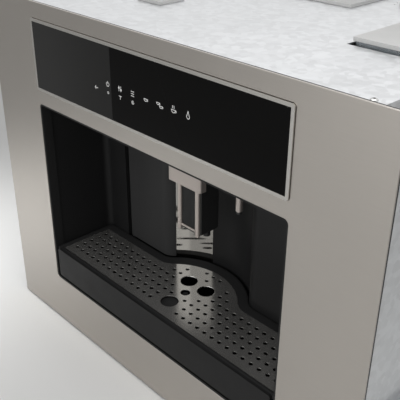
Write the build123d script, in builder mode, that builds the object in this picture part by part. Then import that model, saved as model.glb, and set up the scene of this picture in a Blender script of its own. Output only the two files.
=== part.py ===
from build123d import *
import math
import os

# Built-in coffee machine that slides out of a kitchen niche on telescopic rails.
# Origin: centre of the footprint, on the niche floor. +X right, +Y into the niche, +Z up. Millimetres.
# "Depth" values count from the front face of the front panel into the machine.

# ---- Overall ----
overall_depth = 470.0
running_gap = 0.3          # between pieces that move past each other
steel = 1.2                # sheet-metal thickness
moulding = 2.5             # wall of the black plastic mouldings

# ---- Front panel ----
panel_width = 595.0
panel_height = 455.0
panel_depth = 20.0         # steel face and its carrier together
panel_corner = 1.5
panel_edge = 0.6           # rounding along the outer edge of the steel face
opening_edge = 0.4         # rounding along the edges of its openings
rim_depth = 3.0            # rim of the carrier, which meets the cabinet front
rim_inset = 0.5            # rim inside the steel face's outline
panel_lift = 2.0           # lower edge above the niche floor
panel_screw_rows = 4
panel_screw_pitch = 115.0
niche_width = 401.0
niche_bottom = 71.5        # above the panel's lower edge
niche_corner = 5.5

# ---- Control panel ----
control_width = 399.0
control_height = 88.0
control_below_top = 19.5   # under the panel's upper edge
crossbar_height = 18.5     # steel between the niche and the control panel
control_corner = 3.0
control_proud = 1.6        # frame and glass in front of the steel face
frame_border = 3.6
glass_thickness = 4.0
glass_lip = 4.0
glass_gap = 0.2
control_housing_depth = 27.0
control_boss_inset = 14.0
board_thickness = 1.6

# ---- Niche lining ----
bezel_front = 0.6
bezel_depth = 14.0
bezel_wall = 2.3
bezel_gap = 0.2            # to the steel edge of the opening
wall_step = 1.4            # the walls stand back behind the bezel
groove_at = 155.8          # centre of the finger groove, left of the middle
groove_width = 6.0
door_thickness = 2.8
door_floor_gap = 1.5
door_edge_angle = 45.0     # where the curved door ends, seen from the bulge's axis
hinge_radius = 2.6
hinge_pin_radius = 1.2
hinge_pin_depth = 4.0
pin_clearance = 0.1
recess_step = 3.6          # the recess stands back from the face of the curved door
recess_plate_angle = 46.0
recess_plate_end = -25.5   # right edge of the steel plate; the moulding goes on from there

# ---- Drip tray, grid and float ----
bulge_centre = 39.0        # depth of the axis of the round bulge
tray_front_depth = 4.2
tray_back = 96.5
tray_bulge_radius = 93.5
tray_blend = 22.0
tray_corner = 8.0
tray_side_gap = 0.6        # to the bezel
tray_wall = 2.4
tray_rim_height = 6.6
tray_height = 44.0
tray_lower_edge = 2.0      # chamfer that clears the bezel's rounded corners
tray_above_bezel = 2.2
rim_crest = 2.0            # flat top of the rim, which slopes down to the grid
rim_slope = 1.6
front_width = 386.8
front_height = 43.0
front_thickness = 3.6
front_corner = 2.5
grid_front = 10.5
grid_back = 85.5
grid_side = 192.4
grid_bulge_radius = 80.5
grid_blend = 30.0
grid_corner = 4.0
grid_thickness = 1.5
grid_skirt = 3.0
grid_fit = 0.4
grid_ledge = 3.0
grid_sunk = 2.0            # below the tray rim
hole_pitch_x = 12.1
hole_pitch_y = 12.3
hole_radius = 2.6
hole_first_row = 24.5
hole_rows = 8
hole_columns = 15          # each side of the middle
hole_margin = 7.0
large_hole_clearance = 7.3  # from a large hole's edge to the middle of the nearest small one
cup_hole_radius = 11.25
cup_hole_spacing = 31.0
cup_hole_depth = 82.0
rear_hole_depth = 35.0
float_hole_radius = 6.25
float_depth = 61.3
float_radius = 10.0
float_height = 8.0
float_stem_radius = 3.5
float_guide_wall = 2.0
float_guide_height = 12.0

# ---- Spout ----
sleeve_width = 52.0
sleeve_front = 60.4
sleeve_back = 112.0
sleeve_drop = 56.5         # below the niche ceiling
sleeve_headroom = 20.0     # above the raised spout
sleeve_front_wall = 2.8
sleeve_roof = 3.0
band_width = 55.0
band_side = 8.0
band_drop = 60.5
band_corner = 3.0
spout_width = 41.2
spout_depth = 29.5
spout_front = 68.2
spout_height = 80.0
spout_drop = 122.5         # underside of the spout body, below the niche ceiling
spout_travel = 45.0
spout_rounding = 3.0
leg_spacing = 30.4
leg_radius = 3.4
leg_overhang = 3.0
leg_set_back = 0.7         # axis of the legs in front of the spout body
leg_rounding = 2.0
cover_thickness = 1.0
bridge_height = 2.5
outlet_radius = 4.5
outlet_bore = 2.5
outlet_length = 5.0
nozzle_radius = 3.0
nozzle_bore = 1.8
nozzle_side = 77.8
nozzle_depth = 70.0
nozzle_drop = 68.5
nozzle_flange_radius = 7.0
nozzle_flange = 2.5
lamp_side = 120.0
lamp_depth = 40.0
lamp_length = 40.0
lamp_width = 12.0
lamp_thickness = 4.0

# ---- Base, rails and chassis ----
base_sheet = 2.0
base_front = 24.0
base_flange_height = 78.0
base_back_height = 30.0
floor_hole_radius = 2.6
floor_hole_x = 480.0
floor_hole_y = 380.0
wall_hole_radius = 2.25
wall_hole_y = 320.0
wall_hole_height = 73.0
rail_pack = 12.7
rail_sheet = 1.2
rail_height = 46.0
rail_centre = 43.0
rail_front = 28.0
rail_length = 420.0
rail_middle_length = 410.0
rail_lip = 7.8
chassis_half = 262.0
chassis_clearance = 12.0   # chassis floor above the base sheet
chassis_back = 453.2
chassis_below_panel = 11.0  # top sheet below the panel's upper edge
carrier_wall = 2.5
carrier_inset = 20.0
slot_rows = 8
slot_pitch = 9.0
slot_low = 300.0
slot_length = 90.0
slot_height = 3.0
slot_from_back = 73.2      # centre of the slots, from the chassis's rear edge

# ---- Brew group ----
bay_left = 190.0
bay_right = 78.0
bay_front = 118.0
bay_shelf_above_tray = 0.5
container_width = 56.0
container_clearance = 0.5
container_height = 72.0
container_wall = 2.0
arm_thickness = 7.0
frame_back = 7.0
chamber_radius = 24.0
chamber_bore = 20.0
chamber_height = 52.0
chamber_floor = 6.0
chamber_depth = 190.0
piston_fit = 0.5
piston_reach = 5.0         # piston face above the chamber mouth at rest
post_radius = 4.0
post_side = 35.0
post_behind_chamber = 42.0
lug_thickness = 14.0
lug_margin = 6.0
lug_clearance = 2.5        # between the lugs and the frame's back plate
brew_motor_radius = 13.0
brew_motor_height = 36.0
brew_motor_edge = 2.0
journal_clearance = 0.05

# ---- Boiler, pump, grinder ----
boiler_x = -15.0
boiler_y = 345.0
boiler_width = 80.0
boiler_depth = 90.0
boiler_height = 70.0
boiler_foot = 12.0
boiler_rounding = 8.0
boiler_fins = 4
fin_groove = 4.0
pump_x = 50.0
pump_y = 205.0
pump_radius = 20.0
pump_neck_radius = 10.0
pump_length = 110.0
pump_foot = 14.0
stand_width = 130.0
stand_depth = 110.0
stand_height = 128.0
stand_sheet = 2.0
stand_foot = 12.0
grinder_motor_radius = 30.0
grinder_motor_height = 82.0
grinder_radius = 42.0
grinder_height = 64.0
grinder_wall = 5.0
burr_radius = 22.0
burr_height = 24.0
burr_taper = 10.0
bean_hole_radius = 16.0
shaft_radius = 4.0
hopper_top = 130.0
hopper_bottom = 60.0
hopper_wall = 2.5
hopper_corner = 8.0
hopper_rim = 5.0
lid_thickness = 4.0
lid_overhang = 6.0
lid_hinge_radius = 2.0
lid_pin_radius = 1.0
hopper_barrel = 60.0
chute_barrel = 20.0
tank_barrel = 50.0
lid_lug = 4.0
knob_radius = 15.0
knob_height = 8.0
knob_x = 92.0
knob_shaft_radius = 3.0
knob_shaft_length = 18.0
knob_flutes = 12
flute_radius = 1.2
chute_size = 30.0
chute_wall = 2.0
chute_depth = 146.0

# ---- Water tank ----
tank_x = 196.0
tank_front = 153.0
tank_length = 124.0
tank_width = 106.0
tank_wall = 2.4
tank_seat_height = 190.0
tank_seat_margin = 4.0
tank_seat_rim = 8.0
tank_rim_above_top = 3.0
tank_rounding = 8.0
spigot_radius = 6.0
spigot_height = 5.0

# ---- Electrical ----
power_board_front = 300.0
power_board_length = 130.0
power_board_height = 130.0
power_board_bottom = 60.0
standoff = 6.0
component_size = 28.0
component_height = 16.0
inlet_x = 200.0
inlet_height = 62.0
inlet_width = 62.0
inlet_tall = 32.0
inlet_body = 24.0
inlet_flange = 2.0
switch_width = 12.0
switch_tall = 20.0
switch_deep = 12.0
switch_pivot = 2.0
switch_inside = 3.0
switch_proud = 2.5
socket_width = 24.0
socket_tall = 16.0
socket_deep = 15.0
blade_shift = 2.7          # the middle blade sits higher than the outer two
blade_thickness = 2.0
blade_width = 4.0
hose_radius = 4.0
hose_bend = 30.0
hose_behind_boiler = 45.0
screw_head_radius = 3.5
screw_head = 2.2
screw_radius = 1.8
screw_length = 12.0

# ---- Levels and places worked out from the sizes above ----
front_y = control_proud - overall_depth / 2
base_back = overall_depth - control_proud
panel_middle = panel_lift + panel_height / 2
niche_low = panel_lift + niche_bottom
control_high = panel_lift + panel_height - control_below_top
control_low = control_high - control_height
niche_high = control_low - crossbar_height
niche_height = niche_high - niche_low
bezel_half = niche_width / 2 - bezel_wall
wall_half = bezel_half + wall_step
bezel_low = niche_low + bezel_wall
bezel_high = niche_high - bezel_wall
lining_outer_half = wall_half + moulding
lining_low = bezel_low - wall_step - moulding
ceiling_low = bezel_high + wall_step
ceiling_high = ceiling_low + moulding
tray_low = bezel_low + tray_above_bezel
tray_top = tray_low + tray_height
tray_half = bezel_half - tray_side_gap
tub_floor_top = tray_low - running_gap
tub_top = tray_top - grid_sunk - grid_thickness
grid_top = tray_top - grid_sunk
lining_gap = 1.0           # between the tray's rear edge and the lining
lining_back = tray_back + lining_gap
lining_radius = tray_bulge_radius + lining_gap
recess_radius = lining_radius + recess_step
glass_width = control_width - 2 * frame_border
glass_height = control_height - 2 * frame_border
glass_back = glass_thickness - control_proud
frame_back_depth = glass_back + steel
chassis_low = base_sheet + chassis_clearance
chassis_top = panel_lift + panel_height - chassis_below_panel
floor_top = chassis_low + steel
chassis_inner = chassis_half - steel
bulkhead_back = panel_depth + steel
base_half = chassis_half + rail_pack + base_sheet
door_edge_x = lining_radius * math.sin(math.radians(door_edge_angle))
door_left_x = -(groove_at - groove_width / 2)
wall_end_x = -(groove_at + groove_width / 2)
door_hinge_x = door_left_x + hinge_radius
door_hinge_depth = lining_back + hinge_radius
door_low = tray_top + door_floor_gap
door_high = ceiling_low - running_gap
sleeve_low = ceiling_low - sleeve_drop
sleeve_slot_front = sleeve_front + sleeve_front_wall
sleeve_slot_back = spout_front + spout_depth + running_gap
band_front = sleeve_front - steel
spout_low = ceiling_low - spout_drop
spout_high = spout_low + spout_height
sleeve_high = spout_high + spout_travel + sleeve_headroom + sleeve_roof
leg_low = spout_low - leg_overhang
leg_depth = spout_front - leg_set_back
bridge_low = spout_low + leg_radius
bay_x = -(bay_left + bay_right) / 2
bay_shelf_top = tray_top + bay_shelf_above_tray
bay_top = ceiling_high
container_low = bay_shelf_top + running_gap
container_x = -(bay_right + container_wall + running_gap + container_width / 2 + moulding)
container_front = bay_front + moulding
post_depth = chamber_depth + post_behind_chamber
bay_back = post_depth + lug_margin + lug_clearance + frame_back + moulding
container_depth = post_depth - brew_motor_radius - container_clearance - container_front
lower_arm_top = container_low + container_height + running_gap + 2 * arm_thickness
upper_arm_low = bay_top - moulding - arm_thickness
frame_depth_back = bay_back - moulding
chamber_low = lower_arm_top + running_gap
chamber_top = chamber_low + chamber_height
stand_top = floor_top + stand_height
grinder_motor_top = stand_top + grinder_motor_height
grinder_top = grinder_motor_top + grinder_height
top_underside = chassis_top - steel
tank_seat_top = floor_top + tank_seat_height
tank_low = tank_seat_top + running_gap
tank_high = chassis_top + tank_rim_above_top
tank_back = tank_front + tank_length


# ---- Drawing helpers ----
def facing(depth):
    """Upright plane that faces the front, at a depth behind the front panel's face."""
    return Plane(origin=(0, front_y + depth, 0), x_dir=(1, 0, 0), z_dir=(0, -1, 0))


def level(z):
    """Horizontal plane at height z."""
    return Plane.XY.offset(z)


def block(x, depth, z, mode=Mode.ADD):
    """Box between two x values, two depths and two heights."""
    middle = ((x[0] + x[1]) / 2, front_y + (depth[0] + depth[1]) / 2, (z[0] + z[1]) / 2)
    with Locations(middle):
        Box(x[1] - x[0], depth[1] - depth[0], z[1] - z[0], mode=mode)


def post(x, depth, z, radius, mode=Mode.ADD):
    """Upright cylinder between two heights."""
    with Locations((x, front_y + depth, (z[0] + z[1]) / 2)):
        Cylinder(radius, z[1] - z[0], mode=mode)


def bar(x, depth, z, radius, mode=Mode.ADD):
    """Cylinder along X between two x values."""
    with Locations(((x[0] + x[1]) / 2, front_y + depth, z)):
        Cylinder(radius, x[1] - x[0], rotation=(0, 90, 0), mode=mode)


def pin(x, depth, z, radius, mode=Mode.ADD):
    """Cylinder along Y between two depths."""
    with Locations((x, front_y + (depth[0] + depth[1]) / 2, z)):
        Cylinder(radius, depth[1] - depth[0], rotation=(90, 0, 0), mode=mode)


def upright_ring(width, height, middle_z, outer_corner, border):
    """Ring of a rounded rectangle, drawn on an upright plane."""
    with Locations((0, middle_z)):
        RectangleRounded(width, height, outer_corner)
        Rectangle(width - 2 * border, height - 2 * border, mode=Mode.SUBTRACT)


def bulged_plan(half_width, front, back, radius, blend, corner):
    """Plan of the tray family: a straight-sided shape with a round bulge in the middle of its back edge."""
    with BuildSketch() as plan:
        with Locations((0, front_y + bulge_centre)):
            Circle(radius)
        with Locations((0, front_y + front)):
            Rectangle(2 * radius, 2 * radius, align=(Align.CENTER, Align.MIN), mode=Mode.INTERSECT)
        with Locations((0, front_y + (front + back) / 2)):
            Rectangle(2 * half_width, back - front)
        rear = [v for v in plan.vertices() if abs(v.Y - front_y - back) < 0.01]
        fillet([v for v in rear if abs(v.X) < half_width - 0.01], blend)
        rear = [v for v in plan.vertices() if abs(v.Y - front_y - back) < 0.01]
        fillet([v for v in rear if abs(v.X) > half_width - 0.01], corner)
    return plan.sketch


def lid_lugs(x, width, depth, seat, mode=Mode.ADD):
    """Two upright lugs with stub pins that carry a lid's barrel of the given width."""
    axis_z = seat + running_gap + lid_hinge_radius
    for side in (-1, 1):
        inner = x + side * (width / 2 + running_gap)
        outer = inner + side * lid_lug
        ends = (min(inner, outer), max(inner, outer))
        block(ends, (depth - lid_hinge_radius, depth + lid_hinge_radius), (seat, axis_z), mode)
        bar(ends, depth, axis_z, lid_hinge_radius, mode)
        reach = inner - side * lid_lug
        bar((min(reach, outer), max(reach, outer)), depth, axis_z, lid_pin_radius, mode)


def lid_plate(x, width, barrel, front, depth, seat, thickness):
    """Lid that lies on a seat, with a barrel along its rear edge at the given depth."""
    axis_z = seat + running_gap + lid_hinge_radius
    under = seat + running_gap
    rear = depth - lid_hinge_radius - 2 * running_gap
    block((x - width / 2, x + width / 2), (front, rear), (under, under + thickness))
    block((x - barrel / 2, x + barrel / 2), (rear, depth), (axis_z, under + thickness))
    bar((x - barrel / 2, x + barrel / 2), depth, axis_z, lid_hinge_radius)
    for side in (-1, 1):
        end = x + side * barrel / 2
        reach = end - side * (lid_lug + running_gap)
        bar((min(end, reach), max(end, reach)), depth, axis_z, lid_pin_radius + pin_clearance, Mode.SUBTRACT)


def rail_channel(side, web, lips, half_height, front, length):
    """C-shaped rail member; web and lips are distances from the base flange towards the chassis."""
    def across(near, far):
        return sorted(side * (chassis_half + rail_pack - distance) for distance in (near, far))
    along = (front, front + length)
    top = rail_centre + half_height
    low = rail_centre - half_height
    block(across(*web), along, (low, top))
    block(across(*lips), along, (top - rail_sheet, top))
    block(across(*lips), along, (low, low + rail_sheet))


def finish(builder, name):
    """Names a finished piece and writes its STEP file."""
    builder.part.label = name
    export_step(builder.part, f"parts/{name}.step")


os.makedirs("parts", exist_ok=True)

tray_outline = bulged_plan(
    tray_half, tray_front_depth, tray_back, tray_bulge_radius, tray_blend, tray_corner
)
lining_inside = bulged_plan(
    wall_half, bezel_depth, lining_back, lining_radius, tray_blend - lining_gap, tray_corner + lining_gap
)
lining_outside = bulged_plan(
    lining_outer_half,
    bezel_depth,
    lining_back + moulding,
    lining_radius + moulding,
    tray_blend - lining_gap - moulding,
    tray_corner + lining_gap + moulding,
)
door_outside = bulged_plan(
    lining_outer_half,
    bezel_depth,
    lining_back + door_thickness,
    lining_radius + door_thickness,
    tray_blend - lining_gap - door_thickness,
    tray_corner + lining_gap + door_thickness,
)
grid_outline = bulged_plan(grid_side, grid_front, grid_back, grid_bulge_radius, grid_blend, grid_corner)

# ---- Mounting base, screwed to the niche ----
with BuildPart() as base_frame:
    base_depths = (base_front, base_back)
    base_middle = front_y + (base_front + base_back) / 2
    block((-base_half, base_half), base_depths, (0, base_sheet))
    for side in (-1, 1):
        flange = sorted((side * (base_half - base_sheet), side * base_half))
        block(flange, base_depths, (base_sheet, base_flange_height + base_sheet))
    back_depths = (base_back - base_sheet, base_back)
    block((-base_half, base_half), back_depths, (base_sheet, base_back_height))
    with Locations((0, base_middle, base_sheet / 2)):
        with GridLocations(floor_hole_x, floor_hole_y, 2, 2):
            Cylinder(floor_hole_radius, 2 * base_sheet, mode=Mode.SUBTRACT)
    for along in (-wall_hole_y / 2, wall_hole_y / 2):
        with Locations((0, base_middle + along, wall_hole_height)):
            Cylinder(wall_hole_radius, 2 * base_half + 2, rotation=(0, 90, 0), mode=Mode.SUBTRACT)
finish(base_frame, "base_frame")

# ---- Telescopic rails, each a pair of nested channels ----
outer_half_height = rail_height / 2
middle_half_height = outer_half_height - rail_sheet - running_gap
inner_half_height = middle_half_height - rail_sheet - running_gap
middle_web = rail_sheet + running_gap
inner_lip_end = 2 * (rail_sheet + running_gap)
with BuildPart() as rails_outer:
    for side in (-1, 1):
        outer_lips = (rail_sheet, rail_sheet + rail_lip)
        rail_channel(side, (0, rail_sheet), outer_lips, outer_half_height, rail_front, rail_length)
finish(rails_outer, "rails_outer")

with BuildPart() as rails_middle:
    for side in (-1, 1):
        middle_lips = (middle_web + rail_sheet, middle_web + rail_sheet + rail_lip)
        web = (middle_web, middle_web + rail_sheet)
        rail_channel(side, web, middle_lips, middle_half_height, rail_front, rail_middle_length)
finish(rails_middle, "rails_middle")

with BuildPart() as rails_inner:
    for side in (-1, 1):
        web = (rail_pack - rail_sheet, rail_pack)
        inner_lips = (inner_lip_end, rail_pack - rail_sheet)
        rail_channel(side, web, inner_lips, inner_half_height, rail_front, rail_length)
finish(rails_inner, "rails_inner")

# ---- Chassis sheets ----
carrier_open_half = lining_outer_half + running_gap
carrier_open_low = lining_low - running_gap
carrier_open_high = ceiling_high + running_gap
housing_width = glass_width - 2 * moulding
housing_height = glass_height - 2 * moulding
control_middle = (control_low + control_high) / 2
screw_x = (carrier_open_half + chassis_inner) / 2
screw_low = panel_middle - (panel_screw_rows - 1) / 2 * panel_screw_pitch
screw_levels = [screw_low + row * panel_screw_pitch for row in range(panel_screw_rows)]
screw_places = [(side * screw_x, z) for side in (-1, 1) for z in screw_levels]

with BuildPart() as chassis_floor:
    block((-chassis_inner, chassis_inner), (panel_depth, chassis_back), (chassis_low, floor_top))
finish(chassis_floor, "chassis_floor")

for side, name in ((-1, "side_left"), (1, "side_right")):
    with BuildPart() as side_sheet:
        sheet_x = sorted((side * chassis_inner, side * chassis_half))
        block(sheet_x, (panel_depth, chassis_back), (chassis_low, chassis_top))
        for row in range(slot_rows):
            slot_z = slot_low + row * slot_pitch
            with BuildSketch(Plane.YZ):
                with Locations((front_y + chassis_back - slot_from_back, slot_z)):
                    SlotOverall(slot_length, slot_height)
            extrude(amount=chassis_half + 1, both=True, mode=Mode.SUBTRACT)
    finish(side_sheet, name)

with BuildPart() as front_bulkhead:
    block((-chassis_inner, chassis_inner), (panel_depth, bulkhead_back), (floor_top, top_underside))
    opening_depths = (panel_depth - 1, bulkhead_back + 1)
    niche_open_x = (-carrier_open_half, carrier_open_half)
    block(niche_open_x, opening_depths, (carrier_open_low, carrier_open_high), Mode.SUBTRACT)
    control_open_x = (-housing_width / 2 - running_gap, housing_width / 2 + running_gap)
    control_open_half = housing_height / 2 + running_gap
    control_open_z = (control_middle - control_open_half, control_middle + control_open_half)
    block(control_open_x, opening_depths, control_open_z, Mode.SUBTRACT)
    for x, z in screw_places:
        pin(x, opening_depths, z, screw_radius + running_gap, Mode.SUBTRACT)
finish(front_bulkhead, "front_bulkhead")

with BuildPart() as back_panel:
    sheet_depths = (chassis_back - steel, chassis_back)
    block((-chassis_inner, chassis_inner), sheet_depths, (floor_top, top_underside))
    inlet_half_x = inlet_width / 2 - inlet_flange
    inlet_half_z = inlet_tall / 2 - inlet_flange
    inlet_open_x = (inlet_x - inlet_half_x, inlet_x + inlet_half_x)
    inlet_open_z = (inlet_height - inlet_half_z, inlet_height + inlet_half_z)
    cut_depths = (chassis_back - steel - 1, chassis_back + 1)
    block(inlet_open_x, cut_depths, inlet_open_z, Mode.SUBTRACT)
finish(back_panel, "back_panel")

with BuildPart() as top_panel:
    block((-chassis_inner, chassis_inner), (panel_depth, chassis_back), (top_underside, chassis_top))
    top_cut = (top_underside - 1, chassis_top + 1)
    hopper_open = hopper_top / 2 - hopper_rim
    hopper_x = (boiler_x - hopper_open, boiler_x + hopper_open)
    block(hopper_x, (boiler_y - hopper_open, boiler_y + hopper_open), top_cut, Mode.SUBTRACT)
    chute_half = chute_size / 2
    block((bay_x - chute_half, bay_x + chute_half), (chute_depth - chute_half, chute_depth + chute_half),
          top_cut, Mode.SUBTRACT)
    tank_open_x = (tank_x - tank_width / 2 - tank_seat_margin, tank_x + tank_width / 2 + tank_seat_margin)
    block(tank_open_x, (tank_front - tank_seat_margin, tank_back + tank_seat_margin), top_cut, Mode.SUBTRACT)
    post(knob_x, boiler_y, top_cut, knob_shaft_radius + running_gap, Mode.SUBTRACT)
    hopper_hinge_depth = boiler_y + hopper_top / 2 + lid_overhang
    lid_lugs(boiler_x, hopper_barrel, hopper_hinge_depth, chassis_top)
    chute_hinge_depth = chute_depth + chute_size / 2 + lid_overhang
    lid_lugs(bay_x, chute_barrel, chute_hinge_depth, chassis_top)
finish(top_panel, "top_panel")

# ---- Front: carrier, skin, control panel ----
carrier_width = panel_width - 2 * carrier_inset
carrier_height = panel_height - 2 * carrier_inset
with BuildPart() as front_carrier:
    carrier_depths = (steel, panel_depth)
    carrier_low = panel_middle - carrier_height / 2
    carrier_high = panel_middle + carrier_height / 2
    block((-carrier_width / 2, carrier_width / 2), carrier_depths, (carrier_low, carrier_high))
    with BuildSketch(facing(steel)):
        with Locations((0, panel_middle)):
            RectangleRounded(panel_width - 2 * rim_inset, panel_height - 2 * rim_inset, panel_corner)
    extrude(amount=-rim_depth)
    hollow = (steel - 1, panel_depth - carrier_wall)
    web_x = carrier_open_half + carrier_wall
    edge_x = carrier_width / 2 - carrier_wall
    for side in (-1, 1):
        block(sorted((side * web_x, side * edge_x)), hollow,
              (carrier_low + carrier_wall, carrier_high - carrier_wall), Mode.SUBTRACT)
    block((-web_x + carrier_wall, web_x - carrier_wall), hollow,
          (carrier_low + carrier_wall, carrier_open_low - carrier_wall), Mode.SUBTRACT)
    through = (0, panel_depth + 1)
    block(niche_open_x, through, (carrier_open_low, carrier_open_high), Mode.SUBTRACT)
    control_seat_x = control_width / 2 + running_gap
    block((-control_seat_x, control_seat_x), through,
          (control_low - running_gap, control_high + running_gap), Mode.SUBTRACT)
    for x, z in screw_places:
        pin(x, carrier_depths, z, screw_head_radius + running_gap)
        pin(x, (panel_depth - screw_length, panel_depth + 1), z, screw_radius, Mode.SUBTRACT)
finish(front_carrier, "front_carrier")

with BuildPart() as panel_screws:
    for x, z in screw_places:
        pin(x, (bulkhead_back, bulkhead_back + screw_head), z, screw_head_radius)
        pin(x, (bulkhead_back - screw_length + steel, bulkhead_back), z, screw_radius)
finish(panel_screws, "panel_screws")

with BuildPart() as front_panel:
    niche_middle = (niche_low + niche_high) / 2
    with BuildSketch(facing(0)):
        with Locations((0, panel_middle)):
            RectangleRounded(panel_width, panel_height, panel_corner)
        with Locations((0, niche_middle)):
            RectangleRounded(niche_width, niche_height, niche_corner, mode=Mode.SUBTRACT)
        with Locations((0, control_middle)):
            RectangleRounded(
                control_width + 2 * running_gap,
                control_height + 2 * running_gap,
                control_corner + running_gap,
                mode=Mode.SUBTRACT,
            )
    extrude(amount=-steel)
    face = front_panel.faces().sort_by(Axis.Y)[0]
    fillet(face.outer_wire().edges(), panel_edge)
    face = front_panel.faces().sort_by(Axis.Y)[0]
    fillet([edge for wire in face.inner_wires() for edge in wire.edges()], opening_edge)
finish(front_panel, "front_panel")

with BuildPart() as control_frame:
    with BuildSketch(facing(-control_proud)):
        upright_ring(control_width, control_height, control_middle, control_corner, frame_border)
    extrude(amount=-glass_thickness)
    with BuildSketch(facing(glass_back)):
        upright_ring(control_width, control_height, control_middle, control_corner, frame_border + glass_lip)
    extrude(amount=-steel)
finish(control_frame, "control_frame")

with BuildPart() as control_glass:
    with BuildSketch(facing(-control_proud)):
        with Locations((0, control_middle)):
            Rectangle(glass_width - glass_gap, glass_height - glass_gap)
    extrude(amount=-glass_thickness)
finish(control_glass, "control_glass")

with BuildPart() as control_housing:
    housing_x = (-housing_width / 2, housing_width / 2)
    housing_z = (control_middle - housing_height / 2, control_middle + housing_height / 2)
    housing_back = frame_back_depth + control_housing_depth
    block(housing_x, (frame_back_depth, housing_back), housing_z)
    block(
        (housing_x[0] + moulding, housing_x[1] - moulding),
        (frame_back_depth - 1, housing_back - moulding),
        (housing_z[0] + moulding, housing_z[1] - moulding),
        Mode.SUBTRACT,
    )
    board_depth = (frame_back_depth + housing_back) / 2
    boss_x = housing_width / 2 - control_boss_inset
    boss_z = housing_height / 2 - control_boss_inset
    boss_places = [(side * boss_x, control_middle + rise * boss_z) for side in (-1, 1) for rise in (-1, 1)]
    for x, z in boss_places:
        pin(x, (board_depth + board_thickness, housing_back - moulding), z, screw_head_radius)
finish(control_housing, "control_housing")

with BuildPart() as control_board:
    board_x = housing_width / 2 - 2 * moulding
    board_z = housing_height / 2 - 2 * moulding
    block((-board_x, board_x), (board_depth, board_depth + board_thickness),
          (control_middle - board_z, control_middle + board_z))
    chip_size = board_z / 4
    for step in range(-2, 3):
        chip_x = step * board_x / 3
        block((chip_x - chip_size, chip_x + chip_size), (board_depth - board_thickness, board_depth),
              (control_middle - chip_size, control_middle + chip_size))
finish(control_board, "control_board")

# ---- Niche lining ----
with BuildPart() as niche_bezel:
    with BuildSketch(facing(bezel_front)):
        with Locations((0, niche_middle)):
            RectangleRounded(
                niche_width - 2 * bezel_gap, niche_height - 2 * bezel_gap, niche_corner - bezel_gap
            )
            RectangleRounded(2 * bezel_half, bezel_high - bezel_low, niche_corner - bezel_wall,
                             mode=Mode.SUBTRACT)
    extrude(amount=-(bezel_depth - bezel_front))
    with BuildSketch(facing(steel)):
        with Locations((0, (lining_low + ceiling_high) / 2)):
            Rectangle(2 * lining_outer_half, ceiling_high - lining_low)
        with Locations((0, niche_middle)):
            RectangleRounded(2 * bezel_half, bezel_high - bezel_low, niche_corner - bezel_wall,
                             mode=Mode.SUBTRACT)
    extrude(amount=-(bezel_depth - steel))
finish(niche_bezel, "niche_bezel")

with BuildPart() as niche_wall_left:
    rebate = 2 * hinge_radius + 2 * running_gap
    rebate_depth = lining_back + rebate
    with BuildSketch(level(tub_top)):
        add(lining_outside)
        add(lining_inside, mode=Mode.SUBTRACT)
        with Locations((wall_end_x, front_y)):
            Rectangle(wall_half, overall_depth, align=(Align.MAX, Align.MIN), mode=Mode.INTERSECT)
    extrude(amount=ceiling_low - tub_top)
    groove_z = (tub_top, ceiling_low)
    groove_end = wall_end_x - groove_width
    strip_end = door_hinge_x + groove_width
    block((groove_end, wall_end_x), (lining_back, rebate_depth + moulding), groove_z)
    block((groove_end, strip_end), (rebate_depth, rebate_depth + moulding), groove_z)
finish(niche_wall_left, "niche_wall_left")

plate_outer = recess_radius + steel
recess_low_edge = bulge_centre + recess_radius * math.cos(math.radians(recess_plate_angle))
with BuildPart() as niche_wall_right:
    with BuildSketch(level(tub_top)):
        add(lining_outside)
        add(lining_inside, mode=Mode.SUBTRACT)
        with Locations((door_edge_x, front_y)):
            Rectangle(wall_half, overall_depth, align=(Align.MIN, Align.MIN), mode=Mode.INTERSECT)
    extrude(amount=ceiling_low - tub_top)
    with BuildSketch(level(tub_top)):
        with Locations((0, front_y + bulge_centre)):
            Circle(recess_radius + moulding)
            Circle(recess_radius, mode=Mode.SUBTRACT)
        with Locations((recess_plate_end + running_gap, front_y + recess_low_edge)):
            Rectangle(2 * plate_outer, 2 * plate_outer, align=(Align.MIN, Align.MIN), mode=Mode.INTERSECT)
    extrude(amount=ceiling_low - tub_top)
    return_start = bulge_centre + math.sqrt(lining_radius**2 - door_edge_x**2)
    return_end = bulge_centre + math.sqrt(recess_radius**2 - door_edge_x**2)
    block((door_edge_x, door_edge_x + moulding), (return_start, return_end), (tub_top, ceiling_low))
finish(niche_wall_right, "niche_wall_right")

with BuildPart() as service_door:
    with BuildSketch(level(door_low)):
        add(door_outside)
        add(lining_inside, mode=Mode.SUBTRACT)
        with Locations((door_hinge_x, front_y)):
            Rectangle(-door_hinge_x, overall_depth, align=(Align.MIN, Align.MIN), mode=Mode.INTERSECT)
        with Locations((0, front_y + bulge_centre)):
            Rectangle(overall_depth, overall_depth, rotation=door_edge_angle,
                      align=(Align.MIN, Align.CENTER), mode=Mode.SUBTRACT)
    extrude(amount=door_high - door_low)
    post(door_hinge_x, door_hinge_depth, (door_low, door_high), hinge_radius)
    pin_low = tub_top - hinge_pin_depth
    post(door_hinge_x, door_hinge_depth, (pin_low, ceiling_high - running_gap), hinge_pin_radius)
finish(service_door, "service_door")

with BuildPart() as recess_plate:
    with BuildSketch(level(tub_top)):
        with Locations((0, front_y + bulge_centre)):
            Circle(plate_outer)
            Circle(recess_radius, mode=Mode.SUBTRACT)
        with Locations((recess_plate_end, front_y + recess_low_edge)):
            Rectangle(2 * plate_outer, 2 * plate_outer, align=(Align.MAX, Align.MIN), mode=Mode.INTERSECT)
    extrude(amount=ceiling_low - tub_top)
finish(recess_plate, "recess_plate")

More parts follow.
